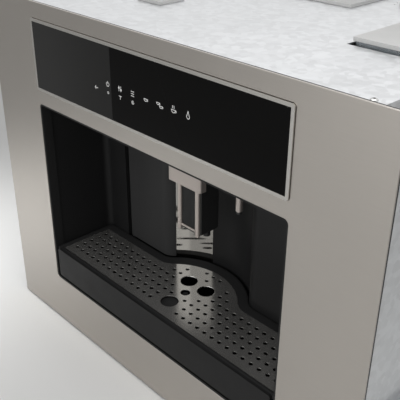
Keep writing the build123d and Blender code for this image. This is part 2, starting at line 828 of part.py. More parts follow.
with BuildPart() as tray_tub:
    with BuildSketch(level(tub_floor_top - moulding)):
        add(lining_outside)
    extrude(amount=tub_top - tub_floor_top + moulding)
    with BuildSketch(level(tub_floor_top)):
        add(lining_inside)
    extrude(amount=tub_top - tub_floor_top + 1, mode=Mode.SUBTRACT)
    with BuildSketch(level(tub_top - moulding)):
        with Locations((0, front_y + bulge_centre)):
            Circle(plate_outer + moulding)
        with Locations((0, front_y + recess_low_edge)):
            Rectangle(2 * plate_outer, plate_outer, align=(Align.CENTER, Align.MIN), mode=Mode.INTERSECT)
        add(lining_inside, mode=Mode.SUBTRACT)
    extrude(amount=moulding)
    hinge_boss_low = tub_top - 2 * hinge_pin_depth
    post(door_hinge_x, door_hinge_depth, (hinge_boss_low, tub_top), 2 * hinge_radius)
    with BuildSketch(level(hinge_boss_low)):
        add(lining_inside)
    extrude(amount=tub_top - hinge_boss_low, mode=Mode.SUBTRACT)
    hole_low = tub_top - hinge_pin_depth - running_gap
    pin_hole_radius = hinge_pin_radius + pin_clearance
    post(door_hinge_x, door_hinge_depth, (hole_low, tub_top + 1), pin_hole_radius, Mode.SUBTRACT)
finish(tray_tub, "tray_tub")

lamp_x = [(side * lamp_side - lamp_length / 2, side * lamp_side + lamp_length / 2) for side in (-1, 1)]
lamp_depths = (lamp_depth - lamp_width / 2, lamp_depth + lamp_width / 2)
with BuildPart() as niche_ceiling:
    with BuildSketch(level(ceiling_low)):
        add(lining_outside)
        with Locations((0, front_y + bulge_centre)):
            Circle(plate_outer + moulding)
        with Locations((0, front_y + bezel_depth)):
            Rectangle(2 * lining_outer_half, overall_depth, align=(Align.CENTER, Align.MIN),
                      mode=Mode.INTERSECT)
    extrude(amount=moulding)
    through = (ceiling_low - 1, ceiling_high + 1)
    block((groove_end, -door_edge_x), (lining_back, rebate_depth + moulding), (ceiling_low, ceiling_high))
    block((-sleeve_width / 2, sleeve_width / 2), (sleeve_front, sleeve_back), through, Mode.SUBTRACT)
    post(nozzle_side, nozzle_depth, through, nozzle_radius, Mode.SUBTRACT)
    for x in lamp_x:
        block(x, lamp_depths, through, Mode.SUBTRACT)
    post(door_hinge_x, door_hinge_depth, through, pin_hole_radius, Mode.SUBTRACT)
finish(niche_ceiling, "niche_ceiling")

with BuildPart() as niche_lamps:
    for x in lamp_x:
        block(x, lamp_depths, (ceiling_low, ceiling_low + lamp_thickness))
        block((x[0] - moulding, x[1] + moulding), (lamp_depths[0] - moulding, lamp_depths[1] + moulding),
              (ceiling_high, ceiling_high + lamp_thickness))
finish(niche_lamps, "niche_lamps")

# ---- Drip tray, front, grid and float ----
tray_floor = tray_low + tray_wall
with BuildPart() as drip_tray:
    with BuildSketch(level(tray_low)):
        add(tray_outline)
    extrude(amount=tray_height)
    chamfer(drip_tray.faces().sort_by(Axis.Z)[0].edges(), tray_lower_edge)
    with BuildSketch(level(tray_floor)):
        offset(tray_outline, amount=-tray_wall)
    extrude(amount=tray_height - tray_wall - tray_rim_height, mode=Mode.SUBTRACT)
    with BuildSketch(level(tray_floor)):
        offset(grid_outline, amount=-grid_ledge)
    extrude(amount=tray_height, mode=Mode.SUBTRACT)
    with BuildSketch(level(grid_top - grid_thickness)):
        offset(grid_outline, amount=grid_fit)
    extrude(amount=grid_sunk + grid_thickness + 1, mode=Mode.SUBTRACT)
    with BuildSketch(level(tray_top)):
        offset(tray_outline, amount=-rim_crest)
    with BuildSketch(level(tray_top - rim_slope)):
        add(grid_outline)
    loft(ruled=True, mode=Mode.SUBTRACT)
    guide_radius = float_radius + running_gap
    post(0, float_depth, (tray_floor, tray_floor + float_guide_height), guide_radius + float_guide_wall)
    post(0, float_depth, (tray_floor, tray_floor + float_guide_height + 1), guide_radius, Mode.SUBTRACT)
finish(drip_tray, "drip_tray")

with BuildPart() as tray_front:
    front_low = tray_top - front_height
    with BuildSketch(facing(tray_front_depth)):
        with Locations((0, (front_low + tray_top) / 2)):
            RectangleRounded(front_width, front_height, front_corner)
    extrude(amount=front_thickness)
finish(tray_front, "tray_front")


def hole_fits(x, depth):
    """True where a small drain hole has room in the grid's outline and beside the larger holes."""
    edge = grid_side - hole_margin
    low = grid_front + hole_margin
    in_strip = abs(x) < edge and low < depth < grid_back - hole_margin
    reach = math.hypot(x, depth - bulge_centre)
    in_bulge = low < depth and reach < grid_bulge_radius - hole_margin
    near = any(math.hypot(x - big_x, depth - big_depth) < radius + large_hole_clearance
               for big_x, big_depth, radius in large_holes)
    return (in_strip or in_bulge) and not near


large_holes = [
    (-cup_hole_spacing / 2, cup_hole_depth, cup_hole_radius),
    (cup_hole_spacing / 2, cup_hole_depth, cup_hole_radius),
    (0, rear_hole_depth, cup_hole_radius),
    (0, float_depth, float_hole_radius),
]
small_holes = [
    (column * hole_pitch_x, hole_first_row + row * hole_pitch_y)
    for column in range(-hole_columns, hole_columns + 1)
    for row in range(hole_rows)
]
with BuildPart() as drip_grid:
    with BuildSketch(level(grid_top - grid_thickness)):
        add(grid_outline)
        for x, depth, radius in large_holes:
            with Locations((x, front_y + depth)):
                Circle(radius, mode=Mode.SUBTRACT)
        with Locations([(x, front_y + depth) for x, depth in small_holes if hole_fits(x, depth)]):
            Circle(hole_radius, mode=Mode.SUBTRACT)
    extrude(amount=grid_thickness)
    with BuildSketch(level(grid_top - grid_thickness - grid_skirt)):
        skirt = grid_ledge + running_gap
        offset(grid_outline, amount=-skirt)
        offset(grid_outline, amount=-skirt - grid_thickness, mode=Mode.SUBTRACT)
    extrude(amount=grid_skirt)
finish(drip_grid, "drip_grid")

with BuildPart() as tray_float:
    float_low = tray_floor + running_gap
    post(0, float_depth, (float_low, float_low + float_height), float_radius)
    post(0, float_depth, (float_low, grid_top - grid_thickness), float_stem_radius)
finish(tray_float, "tray_float")

# ---- Spout ----
with BuildPart() as spout_sleeve:
    sleeve_x = (-sleeve_width / 2, sleeve_width / 2)
    block(sleeve_x, (sleeve_front, sleeve_back), (sleeve_low, sleeve_high))
    collar = (-sleeve_width / 2 - 2 * moulding, sleeve_width / 2 + 2 * moulding)
    block(collar, (sleeve_front - moulding, sleeve_back + moulding), (ceiling_high, ceiling_high + moulding))
    slot_half = spout_width / 2 + running_gap
    block((-slot_half, slot_half), (sleeve_slot_front, sleeve_slot_back),
          (sleeve_low - 1, sleeve_high - sleeve_roof), Mode.SUBTRACT)
finish(spout_sleeve, "spout_sleeve")

with BuildPart() as spout_band:
    band_depth = band_side + steel
    with BuildSketch(level(ceiling_low - band_drop)):
        with Locations((0, front_y + band_front + band_depth)):
            RectangleRounded(band_width, 2 * band_depth, band_corner)
            Rectangle(sleeve_width, 2 * (band_depth - steel), mode=Mode.SUBTRACT)
            Rectangle(band_width + 2, 2 * band_depth, align=(Align.CENTER, Align.MIN), mode=Mode.SUBTRACT)
    extrude(amount=band_drop)
finish(spout_band, "spout_band")

outlet_x = cup_hole_spacing / 2
with BuildPart() as spout_body:
    spout_x = (-spout_width / 2, spout_width / 2)
    spout_depths = (spout_front, spout_front + spout_depth)
    block(spout_x, spout_depths, (spout_low, spout_high))
    fillet(spout_body.edges().filter_by(Axis.Z).group_by(Axis.Y)[-1], spout_rounding)
    fillet(spout_body.faces().sort_by(Axis.Z)[0].edges().group_by(Axis.Y)[1:], spout_rounding)
finish(spout_body, "spout_body")

with BuildPart() as spout_cover:
    for side in (-1, 1):
        leg_x = side * leg_spacing / 2
        post(leg_x, leg_depth, (leg_low, spout_high), leg_radius)
    fillet(spout_cover.faces().group_by(Axis.Z)[0].edges(), leg_rounding)
    leg_gap = (-leg_spacing / 2, leg_spacing / 2)
    bridge_depths = (spout_front - 2 * cover_thickness, spout_front)
    block(leg_gap, bridge_depths, (bridge_low, bridge_low + bridge_height))
    behind = (spout_front, spout_front + leg_radius)
    block((-spout_width / 2, spout_width / 2), behind, (leg_low - 1, spout_high + 1), Mode.SUBTRACT)
finish(spout_cover, "spout_cover")

with BuildPart() as spout_window:
    window_half = leg_spacing / 2 - leg_radius
    block((-window_half, window_half), (spout_front - cover_thickness, spout_front),
          (bridge_low + bridge_height, spout_high))
finish(spout_window, "spout_window")

with BuildPart() as coffee_outlets:
    for side in (-1, 1):
        outlet_z = (spout_low - outlet_length, spout_low)
        post(side * outlet_x, cup_hole_depth, outlet_z, outlet_radius)
        post(side * outlet_x, cup_hole_depth, (outlet_z[0] - 1, outlet_z[1]), outlet_bore, Mode.SUBTRACT)
finish(coffee_outlets, "coffee_outlets")

with BuildPart() as hot_water_nozzle:
    post(nozzle_side, nozzle_depth, (ceiling_low - nozzle_drop, ceiling_high), nozzle_radius)
    post(nozzle_side, nozzle_depth, (ceiling_high, ceiling_high + nozzle_flange), nozzle_flange_radius)
    bore = (ceiling_low - nozzle_drop - 1, ceiling_high + nozzle_flange + 1)
    post(nozzle_side, nozzle_depth, bore, nozzle_bore, Mode.SUBTRACT)
finish(hot_water_nozzle, "hot_water_nozzle")

# ---- Brew group, behind the service door ----
inner_left = -bay_left + moulding
inner_right = -bay_right - moulding
with BuildPart() as brew_bay:
    block((-bay_left, -bay_right), (bay_front, bay_back), (floor_top, bay_top))
    inside_depths = (bay_front - 1, bay_back - moulding)
    block((inner_left, inner_right), inside_depths, (floor_top - 1, bay_shelf_top - moulding), Mode.SUBTRACT)
    block((inner_left, inner_right), inside_depths, (bay_shelf_top, bay_top - moulding), Mode.SUBTRACT)
    block((bay_x - chute_half, bay_x + chute_half), (chute_depth - chute_half, chute_depth + chute_half),
          (bay_top - moulding - 1, bay_top + 1), Mode.SUBTRACT)
finish(brew_bay, "brew_bay")

with BuildPart() as grounds_container:
    container_ends = (container_x - container_width / 2, container_x + container_width / 2)
    container_depths = (container_front, container_front + container_depth)
    container_z = (container_low, container_low + container_height)
    block(container_ends, container_depths, container_z)
    upright = grounds_container.edges().filter_by(Axis.Z)
    fillet(upright, 2 * container_wall)
    offset(amount=-container_wall, openings=grounds_container.faces().sort_by(Axis.Z)[-1])
finish(grounds_container, "grounds_container")

arm_front = chamber_depth - chamber_radius
guide_x = bay_x - post_side
spindle_x = bay_x + post_side
lower_arm = (lower_arm_top - arm_thickness, lower_arm_top)
upper_arm = (upper_arm_low, upper_arm_low + arm_thickness)
journal_radius = post_radius / 2
with BuildPart() as brew_frame:
    block((inner_left, inner_right), (frame_depth_back - frame_back, frame_depth_back),
          (lower_arm[0], upper_arm[1]))
    block((inner_left, inner_right), (arm_front, frame_depth_back), lower_arm)
    block((inner_left, inner_right), (arm_front, frame_depth_back), upper_arm)
    post(bay_x, chamber_depth, (chamber_top + piston_reach, upper_arm_low), chamber_bore - piston_fit)
    post(guide_x, post_depth, (lower_arm_top, upper_arm_low), post_radius)
    for arm in (lower_arm, upper_arm):
        post(spindle_x, post_depth, arm, journal_radius + journal_clearance, Mode.SUBTRACT)
finish(brew_frame, "brew_frame")

lug_z = (chamber_low + chamber_floor, chamber_low + chamber_floor + lug_thickness)
with BuildPart() as brew_chamber:
    post(bay_x, chamber_depth, (chamber_low, chamber_top), chamber_radius)
    lug_half = post_side + post_radius + lug_margin
    block((bay_x - lug_half, bay_x + lug_half), (chamber_depth, post_depth + lug_margin), lug_z)
    post(bay_x, chamber_depth, (chamber_low + chamber_floor, chamber_top + 1), chamber_bore, Mode.SUBTRACT)
    for x in (guide_x, spindle_x):
        post(x, post_depth, (lug_z[0] - 1, lug_z[1] + 1), post_radius + running_gap, Mode.SUBTRACT)
finish(brew_chamber, "brew_chamber")

with BuildPart() as brew_spindle:
    post(spindle_x, post_depth, (lower_arm_top + running_gap, upper_arm_low - running_gap), post_radius)
    post(spindle_x, post_depth, (lower_arm[0] + running_gap, upper_arm[1] - running_gap), journal_radius)
finish(brew_spindle, "brew_spindle")

with BuildPart() as brew_motor:
    post(spindle_x, post_depth, (lower_arm[0] - brew_motor_height, lower_arm[0]), brew_motor_radius)
    chamfer(brew_motor.edges().sort_by(Axis.Z)[0], brew_motor_edge)
finish(brew_motor, "brew_motor")

# ---- Boiler, pump and hoses ----
boiler_low = floor_top + boiler_foot
boiler_middle = boiler_low + boiler_height / 2
with BuildPart() as boiler:
    boiler_ends = (boiler_x - boiler_width / 2, boiler_x + boiler_width / 2)
    boiler_depths = (boiler_y - boiler_depth / 2, boiler_y + boiler_depth / 2)
    block(boiler_ends, boiler_depths, (boiler_low, boiler_low + boiler_height))
    fillet(boiler.edges().filter_by(Axis.Z), boiler_rounding)
    for row in range(boiler_fins):
        fin_z = boiler_low + (row + 1) * boiler_height / (boiler_fins + 1)
        groove = (fin_z - fin_groove / 2, fin_z + fin_groove / 2)
        for end, way in ((boiler_ends[0], 1), (boiler_ends[1], -1)):
            block(sorted((end - way, end + way * fin_groove)), boiler_depths, groove, Mode.SUBTRACT)
    for x in (boiler_ends[0] + boiler_foot, boiler_ends[1] - boiler_foot):
        for depth in (boiler_depths[0] + boiler_foot, boiler_depths[1] - boiler_foot):
            post(x, depth, (floor_top, boiler_low), boiler_foot / 2)
finish(boiler, "boiler")

pump_z = floor_top + pump_foot + pump_radius
pump_ends = (pump_x - pump_length / 2, pump_x + pump_length / 2)
with BuildPart() as pump:
    bar((pump_ends[0] + pump_radius, pump_ends[1] - pump_radius), pump_y, pump_z, pump_radius)
    bar(pump_ends, pump_y, pump_z, pump_neck_radius)
    for side in (-1, 1):
        foot_x = pump_x + side * pump_length / 4
        foot_ends = (foot_x - pump_foot / 2, foot_x + pump_foot / 2)
        block(foot_ends, (pump_y - pump_radius / 2, pump_y + pump_radius / 2), (floor_top, pump_z))
finish(pump, "pump")

hose_y = front_y + pump_y
feed_x = boiler_ends[0] + 3 * hose_radius
outlet_y = front_y + boiler_depths[1]
behind_stand = outlet_y + hose_behind_boiler
bay_hose_z = bay_top - hose_bend
bay_hose_x = bay_x + chute_size / 2
hose_routes = [
    [(tank_x - tank_width / 2 - tank_seat_margin, hose_y, pump_z), (pump_ends[1], hose_y, pump_z)],
    [(pump_ends[0], hose_y, pump_z), (feed_x, hose_y, pump_z), (feed_x, front_y + boiler_depths[0], pump_z)],
    [
        (boiler_x, outlet_y, boiler_middle),
        (boiler_x, behind_stand, boiler_middle),
        (bay_hose_x, behind_stand, boiler_middle),
        (bay_hose_x, behind_stand, bay_hose_z),
        (bay_hose_x, front_y + bay_back, bay_hose_z),
    ],
]
with BuildPart() as water_hoses:
    for route in hose_routes:
        with BuildLine() as path:
            if len(route) > 2:
                FilletPolyline(*route, radius=hose_bend)
            else:
                Line(*route)
        with BuildSketch(Plane(origin=path.line @ 0, z_dir=path.line % 0)):
            Circle(hose_radius)
        sweep()
finish(water_hoses, "water_hoses")

# ---- Grinder and bean hopper ----
stand_low = stand_top - stand_sheet
with BuildPart() as grinder_stand:
    stand_depths = (boiler_y - stand_depth / 2, boiler_y + stand_depth / 2)
    stand_ends = (boiler_x - stand_width / 2, boiler_x + stand_width / 2)
    block(stand_ends, stand_depths, (stand_low, stand_top))
    for side in (-1, 1):
        edge = boiler_x + side * stand_width / 2
        block(sorted((edge, edge - side * stand_sheet)), stand_depths, (floor_top, stand_low))
        block(sorted((edge, edge + side * stand_foot)), stand_depths, (floor_top, floor_top + stand_sheet))
finish(grinder_stand, "grinder_stand")

burr_low = grinder_motor_top + grinder_wall + running_gap
shaft_low = grinder_motor_top - burr_height
with BuildPart() as grinder_motor:
    post(boiler_x, boiler_y, (stand_top, grinder_motor_top), grinder_motor_radius)
    shaft_bore = (shaft_low - running_gap, grinder_motor_top + 1)
    post(boiler_x, boiler_y, shaft_bore, shaft_radius + journal_clearance, Mode.SUBTRACT)
finish(grinder_motor, "grinder_motor")

with BuildPart() as grinder_burr:
    with BuildSketch(level(burr_low)):
        with Locations((boiler_x, front_y + boiler_y)):
            Circle(burr_radius)
    extrude(amount=burr_height, taper=burr_taper)
    post(boiler_x, boiler_y, (shaft_low, burr_low), shaft_radius)
finish(grinder_burr, "grinder_burr")

with BuildPart() as grinder_housing:
    post(boiler_x, boiler_y, (grinder_motor_top, grinder_top), grinder_radius)
    post(boiler_x, boiler_y, (grinder_motor_top + grinder_wall, grinder_top - grinder_wall),
         grinder_radius - grinder_wall, Mode.SUBTRACT)
    post(boiler_x, boiler_y, (grinder_motor_top - 1, burr_low), shaft_radius + running_gap, Mode.SUBTRACT)
    roof = (grinder_top - grinder_wall - 1, grinder_top + 1)
    post(boiler_x, boiler_y, roof, bean_hole_radius, Mode.SUBTRACT)
finish(grinder_housing, "grinder_housing")

with BuildPart() as bean_hopper:
    hopper_high = top_underside
    with BuildSketch(level(grinder_top)):
        with Locations((boiler_x, front_y + boiler_y)):
            RectangleRounded(hopper_bottom, hopper_bottom, hopper_corner)
    with BuildSketch(level(hopper_high)):
        with Locations((boiler_x, front_y + boiler_y)):
            RectangleRounded(hopper_top, hopper_top, hopper_corner)
    loft(ruled=True)
    inner_bottom = hopper_bottom - 2 * hopper_wall
    inner_top = hopper_top - 2 * hopper_wall
    with BuildSketch(level(grinder_top + hopper_wall)):
        with Locations((boiler_x, front_y + boiler_y)):
            RectangleRounded(inner_bottom, inner_bottom, hopper_corner - hopper_wall)
    with BuildSketch(level(hopper_high)):
        with Locations((boiler_x, front_y + boiler_y)):
            RectangleRounded(inner_top, inner_top, hopper_corner - hopper_wall)
    loft(ruled=True, mode=Mode.SUBTRACT)
    hopper_floor = (grinder_top - 1, grinder_top + hopper_wall + 1)
    post(boiler_x, boiler_y, hopper_floor, bean_hole_radius, Mode.SUBTRACT)
finish(bean_hopper, "bean_hopper")

with BuildPart() as hopper_lid:
    lid_plate(boiler_x, hopper_top, hopper_barrel, boiler_y - hopper_top / 2, hopper_hinge_depth,
              chassis_top, lid_thickness)
finish(hopper_lid, "hopper_lid")

with BuildPart() as ground_coffee_chute:
    chute_outer = chute_half + chute_wall
    chute_z = (bay_top, top_underside)
    block((bay_x - chute_outer, bay_x + chute_outer), (chute_depth - chute_outer, chute_depth + chute_outer),
          chute_z)
    block((bay_x - chute_half, bay_x + chute_half), (chute_depth - chute_half, chute_depth + chute_half),
          (bay_top - 1, top_underside + 1), Mode.SUBTRACT)
finish(ground_coffee_chute, "ground_coffee_chute")

with BuildPart() as chute_lid:
    chute_lid_width = chute_size + 2 * lid_overhang
    lid_plate(bay_x, chute_lid_width, chute_barrel, chute_depth - chute_lid_width / 2, chute_hinge_depth,
              chassis_top, lid_thickness)
finish(chute_lid, "chute_lid")

with BuildPart() as grind_knob:
    knob_low = chassis_top + running_gap
    post(knob_x, boiler_y, (knob_low, knob_low + knob_height), knob_radius)
    fillet(grind_knob.edges().sort_by(Axis.Z)[-1], knob_height / 4)
    for turn in range(knob_flutes):
        angle = math.radians(360 * turn / knob_flutes)
        flute_x = knob_x + knob_radius * math.sin(angle)
        flute_depth = boiler_y + knob_radius * math.cos(angle)
        post(flute_x, flute_depth, (knob_low - 1, knob_low + knob_height + 1), flute_radius, Mode.SUBTRACT)
    post(knob_x, boiler_y, (knob_low - knob_shaft_length, knob_low), knob_shaft_radius)
finish(grind_knob, "grind_knob")

# ---- Water tank ----
tank_ends = (tank_x - tank_width / 2, tank_x + tank_width / 2)
tank_depths = (tank_front, tank_back)
tank_middle = (tank_front + tank_back) / 2
with BuildPart() as tank_seat:
    seat_ends = (tank_ends[0] - tank_seat_margin, tank_ends[1] + tank_seat_margin)
    seat_depths = (tank_front - tank_seat_margin, tank_back + tank_seat_margin)
    block(seat_ends, seat_depths, (floor_top, tank_seat_top + tank_seat_rim))
    block((seat_ends[0] + moulding, seat_ends[1] - moulding),
          (seat_depths[0] + moulding, seat_depths[1] - moulding),
          (floor_top - 1, tank_seat_top - moulding), Mode.SUBTRACT)
    block((tank_ends[0] - running_gap, tank_ends[1] + running_gap),
          (tank_front - running_gap, tank_back + running_gap),
          (tank_seat_top, tank_seat_top + tank_seat_rim + 1), Mode.SUBTRACT)
    post(tank_x, tank_middle, (tank_seat_top, tank_seat_top + spigot_height), spigot_radius)
finish(tank_seat, "tank_seat")

tank_deck = 2 * lid_hinge_radius + tank_wall + 2 * running_gap
tank_hinge_depth = tank_back - tank_deck / 2
with BuildPart() as water_tank:
    block(tank_ends, tank_depths, (tank_low, tank_high))
    fillet(water_tank.edges().filter_by(Axis.Z), tank_rounding)
    inside_x = (tank_ends[0] + tank_wall, tank_ends[1] - tank_wall)
    inside_front = tank_front + tank_wall
    inside_low = tank_low + tank_wall
    block(inside_x, (inside_front, tank_back - tank_deck), (inside_low, tank_high + 1), Mode.SUBTRACT)
    deck_under = tank_high - 2 * tank_wall
    block(inside_x, (inside_front, tank_back - tank_wall), (inside_low, deck_under), Mode.SUBTRACT)
    spigot_room = (tank_low - 1, tank_low + tank_wall + 1)
    post(tank_x, tank_middle, spigot_room, spigot_radius + running_gap, Mode.SUBTRACT)
    lid_lugs(tank_x, tank_barrel, tank_hinge_depth, tank_high)
finish(water_tank, "water_tank")

with BuildPart() as tank_lid:
    lid_plate(tank_x, tank_width, tank_barrel, tank_front, tank_hinge_depth, tank_high, lid_thickness)
finish(tank_lid, "tank_lid")

# ---- Electrical ----
with BuildPart() as power_board:
    board_right = chassis_inner - standoff
    board_depths = (power_board_front, power_board_front + power_board_length)
    board_z = (power_board_bottom, power_board_bottom + power_board_height)
    block((board_right - board_thickness, board_right), board_depths, board_z)
    for depth in (board_depths[0] + standoff, board_depths[1] - standoff):
        for z in (board_z[0] + standoff, board_z[1] - standoff):
            bar((board_right, chassis_inner), depth, z, standoff / 2)
    component_half = component_size / 2
    for depth in (board_depths[0] + component_size, board_depths[1] - component_size):
        for z in (board_z[0] + component_size, board_z[1] - component_size):
            block((board_right - board_thickness - component_height, board_right - board_thickness),
                  (depth - component_half, depth + component_half), (z - component_half, z + component_half))
finish(power_board, "power_board")

with BuildPart() as power_inlet:
    body_ends = (inlet_open_x[0] + running_gap, inlet_open_x[1] - running_gap)
    body_z = (inlet_open_z[0] + running_gap, inlet_open_z[1] - running_gap)
    inlet_back = chassis_back + inlet_flange
    block(body_ends, (chassis_back - inlet_body, inlet_back), body_z)
    block((inlet_x - inlet_width / 2, inlet_x + inlet_width / 2), (chassis_back, inlet_back),
          (inlet_height - inlet_tall / 2, inlet_height + inlet_tall / 2))
    socket_x = inlet_x - inlet_width / 2 + 2 * inlet_flange + socket_width / 2 + running_gap
    block((socket_x - socket_width / 2, socket_x + socket_width / 2),
          (inlet_back - socket_deep, inlet_back + 1),
          (inlet_height - socket_tall / 2, inlet_height + socket_tall / 2), Mode.SUBTRACT)
    for step in (-1, 0, 1):
        blade_x = socket_x + step * socket_width / 4
        blade_z = inlet_height + (blade_shift if step == 0 else -blade_shift)
        block((blade_x - blade_thickness / 2, blade_x + blade_thickness / 2),
              (inlet_back - socket_deep, inlet_back - running_gap),
              (blade_z - blade_width / 2, blade_z + blade_width / 2))
    switch_x = inlet_x + inlet_width / 2 - 2 * inlet_flange - switch_width / 2 - running_gap - moulding
    pocket = switch_width / 2 + running_gap
    switch_room = switch_tall / 2 + 3 * running_gap
    block((switch_x - pocket, switch_x + pocket), (inlet_back - switch_deep, inlet_back + 1),
          (inlet_height - switch_room, inlet_height + switch_room), Mode.SUBTRACT)
    bar((switch_x - pocket - moulding / 2, switch_x + pocket + moulding / 2), inlet_back - switch_pivot,
        inlet_height, lid_pin_radius + pin_clearance, Mode.SUBTRACT)
finish(power_inlet, "power_inlet")

with BuildPart() as main_switch:
    rocker_depths = (inlet_back - switch_pivot - switch_inside, inlet_back + switch_proud)
    block((switch_x - switch_width / 2, switch_x + switch_width / 2), rocker_depths,
          (inlet_height - switch_tall / 2, inlet_height + switch_tall / 2))
    fillet(main_switch.faces().sort_by(Axis.Y)[-1].edges().filter_by(Axis.X), running_gap)
    bar((switch_x - pocket - moulding / 2 + running_gap, switch_x + pocket + moulding / 2 - running_gap),
        inlet_back - switch_pivot, inlet_height, lid_pin_radius)
finish(main_switch, "main_switch")
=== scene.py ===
import math

import bmesh
import bpy
from mathutils import Matrix, Vector


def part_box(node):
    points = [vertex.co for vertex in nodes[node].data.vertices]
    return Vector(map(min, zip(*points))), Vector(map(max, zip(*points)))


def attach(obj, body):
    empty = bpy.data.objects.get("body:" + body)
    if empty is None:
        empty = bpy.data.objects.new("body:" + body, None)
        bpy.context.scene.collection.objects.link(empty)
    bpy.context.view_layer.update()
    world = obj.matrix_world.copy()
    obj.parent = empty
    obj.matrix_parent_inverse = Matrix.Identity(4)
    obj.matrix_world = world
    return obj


# Looks of the built-in coffee machine. The comments give lengths in millimetres, and Blender gets metres.

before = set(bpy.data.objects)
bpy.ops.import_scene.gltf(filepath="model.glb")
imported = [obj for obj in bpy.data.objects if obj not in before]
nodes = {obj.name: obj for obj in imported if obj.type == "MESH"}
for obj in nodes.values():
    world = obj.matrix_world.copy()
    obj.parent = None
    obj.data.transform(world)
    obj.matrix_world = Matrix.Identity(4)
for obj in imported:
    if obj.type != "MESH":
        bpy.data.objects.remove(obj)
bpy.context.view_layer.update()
scene = bpy.context.scene
MM = 0.001


# ---- Camera ----
camera_place = (0.526, -0.6508, 0.6286)
camera_turn = math.radians(47.23)      # to the left of straight into the niche
camera_tilt = math.radians(28.0)       # downwards

camera_data = bpy.data.cameras.new("camera")
camera_data.lens = 62.39
camera_data.sensor_width = 36.0
camera_data.shift_x = 0.025
camera_data.shift_y = 0.001
camera_data.clip_start = 0.01
camera = bpy.data.objects.new("camera", camera_data)
scene.collection.objects.link(camera)
scene.camera = camera
camera.location = camera_place
level_reach = math.cos(camera_tilt)
look = Vector((
    -math.sin(camera_turn) * level_reach,
    math.cos(camera_turn) * level_reach,
    -math.sin(camera_tilt),
))
camera.rotation_mode = "QUATERNION"
camera.rotation_quaternion = look.to_track_quat("-Z", "Y")


# ---- Shader arithmetic ----
class Value:
    """An output socket, with arithmetic on the number that it carries."""

    def __init__(self, shader, socket):
        self.shader = shader
        self.socket = socket

    def math(self, operation, *others):
        return self.shader.node("ShaderNodeMath", {"operation": operation}, dict(enumerate((self, *others))))

    def __add__(self, other):
        return self.math("ADD", other)

    def __sub__(self, other):
        return self.math("SUBTRACT", other)

    def __rsub__(self, other):
        return self.shader.node("ShaderNodeMath", {"operation": "SUBTRACT"}, {0: other, 1: self})

    def __mul__(self, other):
        return self.math("MULTIPLY", other)

    def __gt__(self, limit):
        return self.math("GREATER_THAN", limit)

    def __abs__(self):
        return self.math("ABSOLUTE")

    __radd__ = __add__
    __rmul__ = __mul__

    def larger(self, other):
        return self.math("MAXIMUM", other)

    def wave(self, pitch):
        """Sine of this length, one turn for each pitch."""
        return (self * (2.0 * math.pi / pitch)).math("SINE")

    def ramp(self, low, high, start=0.0, end=1.0):
        """Smooth change from start to end while this goes from low to high."""
        ends = {"Value": self, "From Min": low, "From Max": high, "To Min": start, "To Max": end}
        return self.shader.node("ShaderNodeMapRange", {"interpolation_type": "SMOOTHSTEP"}, ends)

    def mix(self, first, second):
        """Colour from first to second as this goes from 0 to 1."""
        return self.shader.node("ShaderNodeMix", {"data_type": "RGBA"}, {0: self, 6: first, 7: second}, 2)


class Shader:
    """The nodes of one material or of the background."""

    def __init__(self, tree):
        self.tree = tree

    def node(self, kind, settings=None, inputs=None, output=0):
        """Makes a node: its settings first, then its sockets, each a link, a number or a colour."""
        node = self.tree.nodes.new(kind)
        for name, setting in (settings or {}).items():
            setattr(node, name, setting)
        for place, value in (inputs or {}).items():
            self.feed(value, node.inputs[place])
        return Value(self, node.outputs[output])

    def feed(self, value, socket):
        if isinstance(value, Value):
            self.tree.links.new(value.socket, socket)
        elif socket.type == "RGBA":
            socket.default_value = (*value, 1.0)
        else:
            socket.default_value = value


class Finish(Shader):
    """A material of one Principled shader, with textures in the object's own coordinates."""

    def __init__(self, name, **sockets):
        self.material = bpy.data.materials.new(name)
        self.material.use_nodes = True
        super().__init__(self.material.node_tree)
        self.surface = self.tree.nodes["Principled BSDF"]
        self.place = self.node("ShaderNodeTexCoord", output="Object")
        split = self.node("ShaderNodeSeparateXYZ", inputs={0: self.place})
        self.x, self.y, self.z = (Value(self, output) for output in split.socket.node.outputs)
        self.set(**sockets)

    def set(self, **sockets):
        """Feeds the surface's sockets, named with _ for each space."""
        for name, value in sockets.items():
            self.feed(value, self.surface.inputs[name.replace("_", " ")])

    def stretched(self, features):
        return self.node("ShaderNodeMapping", inputs={"Vector": self.place, "Scale": features})

    def noise(self, features, detail=2.0, roughness=0.5):
        """Noise from 0 to 1 with this many features a metre along each axis."""
        texture = {"Vector": self.stretched(features), "Scale": 1.0, "Detail": detail, "Roughness": roughness}
        return self.node("ShaderNodeTexNoise", inputs=texture)

    def specks(self, features, size):
        """Round specks, 1 in their middle, with this many a metre and this share of their pitch across."""
        texture = {"Vector": self.stretched((features,) * 3), "Scale": 1.0}
        distance = self.node("ShaderNodeTexVoronoi", inputs=texture)
        return distance.ramp(size * 0.4, size, 1.0, 0.0)

    def crystals(self, features):
        """Flat cells, each with its own number from 0 to 1."""
        texture = {"Vector": self.stretched((features,) * 3), "Scale": 1.0}
        colour = self.node("ShaderNodeTexVoronoi", inputs=texture, output="Color")
        return self.node("ShaderNodeSeparateColor", inputs={0: colour})

    def bump(self, height, depth, strength=1.0):
        """Normal of a surface that rises by depth metres where height is 1."""
        relief = {"Height": height, "Distance": depth, "Strength": strength}
        return self.node("ShaderNodeBump", inputs=relief)


# ---- Finishes ----
ALONG_X = (26.0, 2600.0, 2600.0)       # grain of the brushing: few features a metre along it
ALONG_Z = (2600.0, 2600.0, 26.0)


def shade(colour, factor):
    return tuple(part * factor for part in colour)


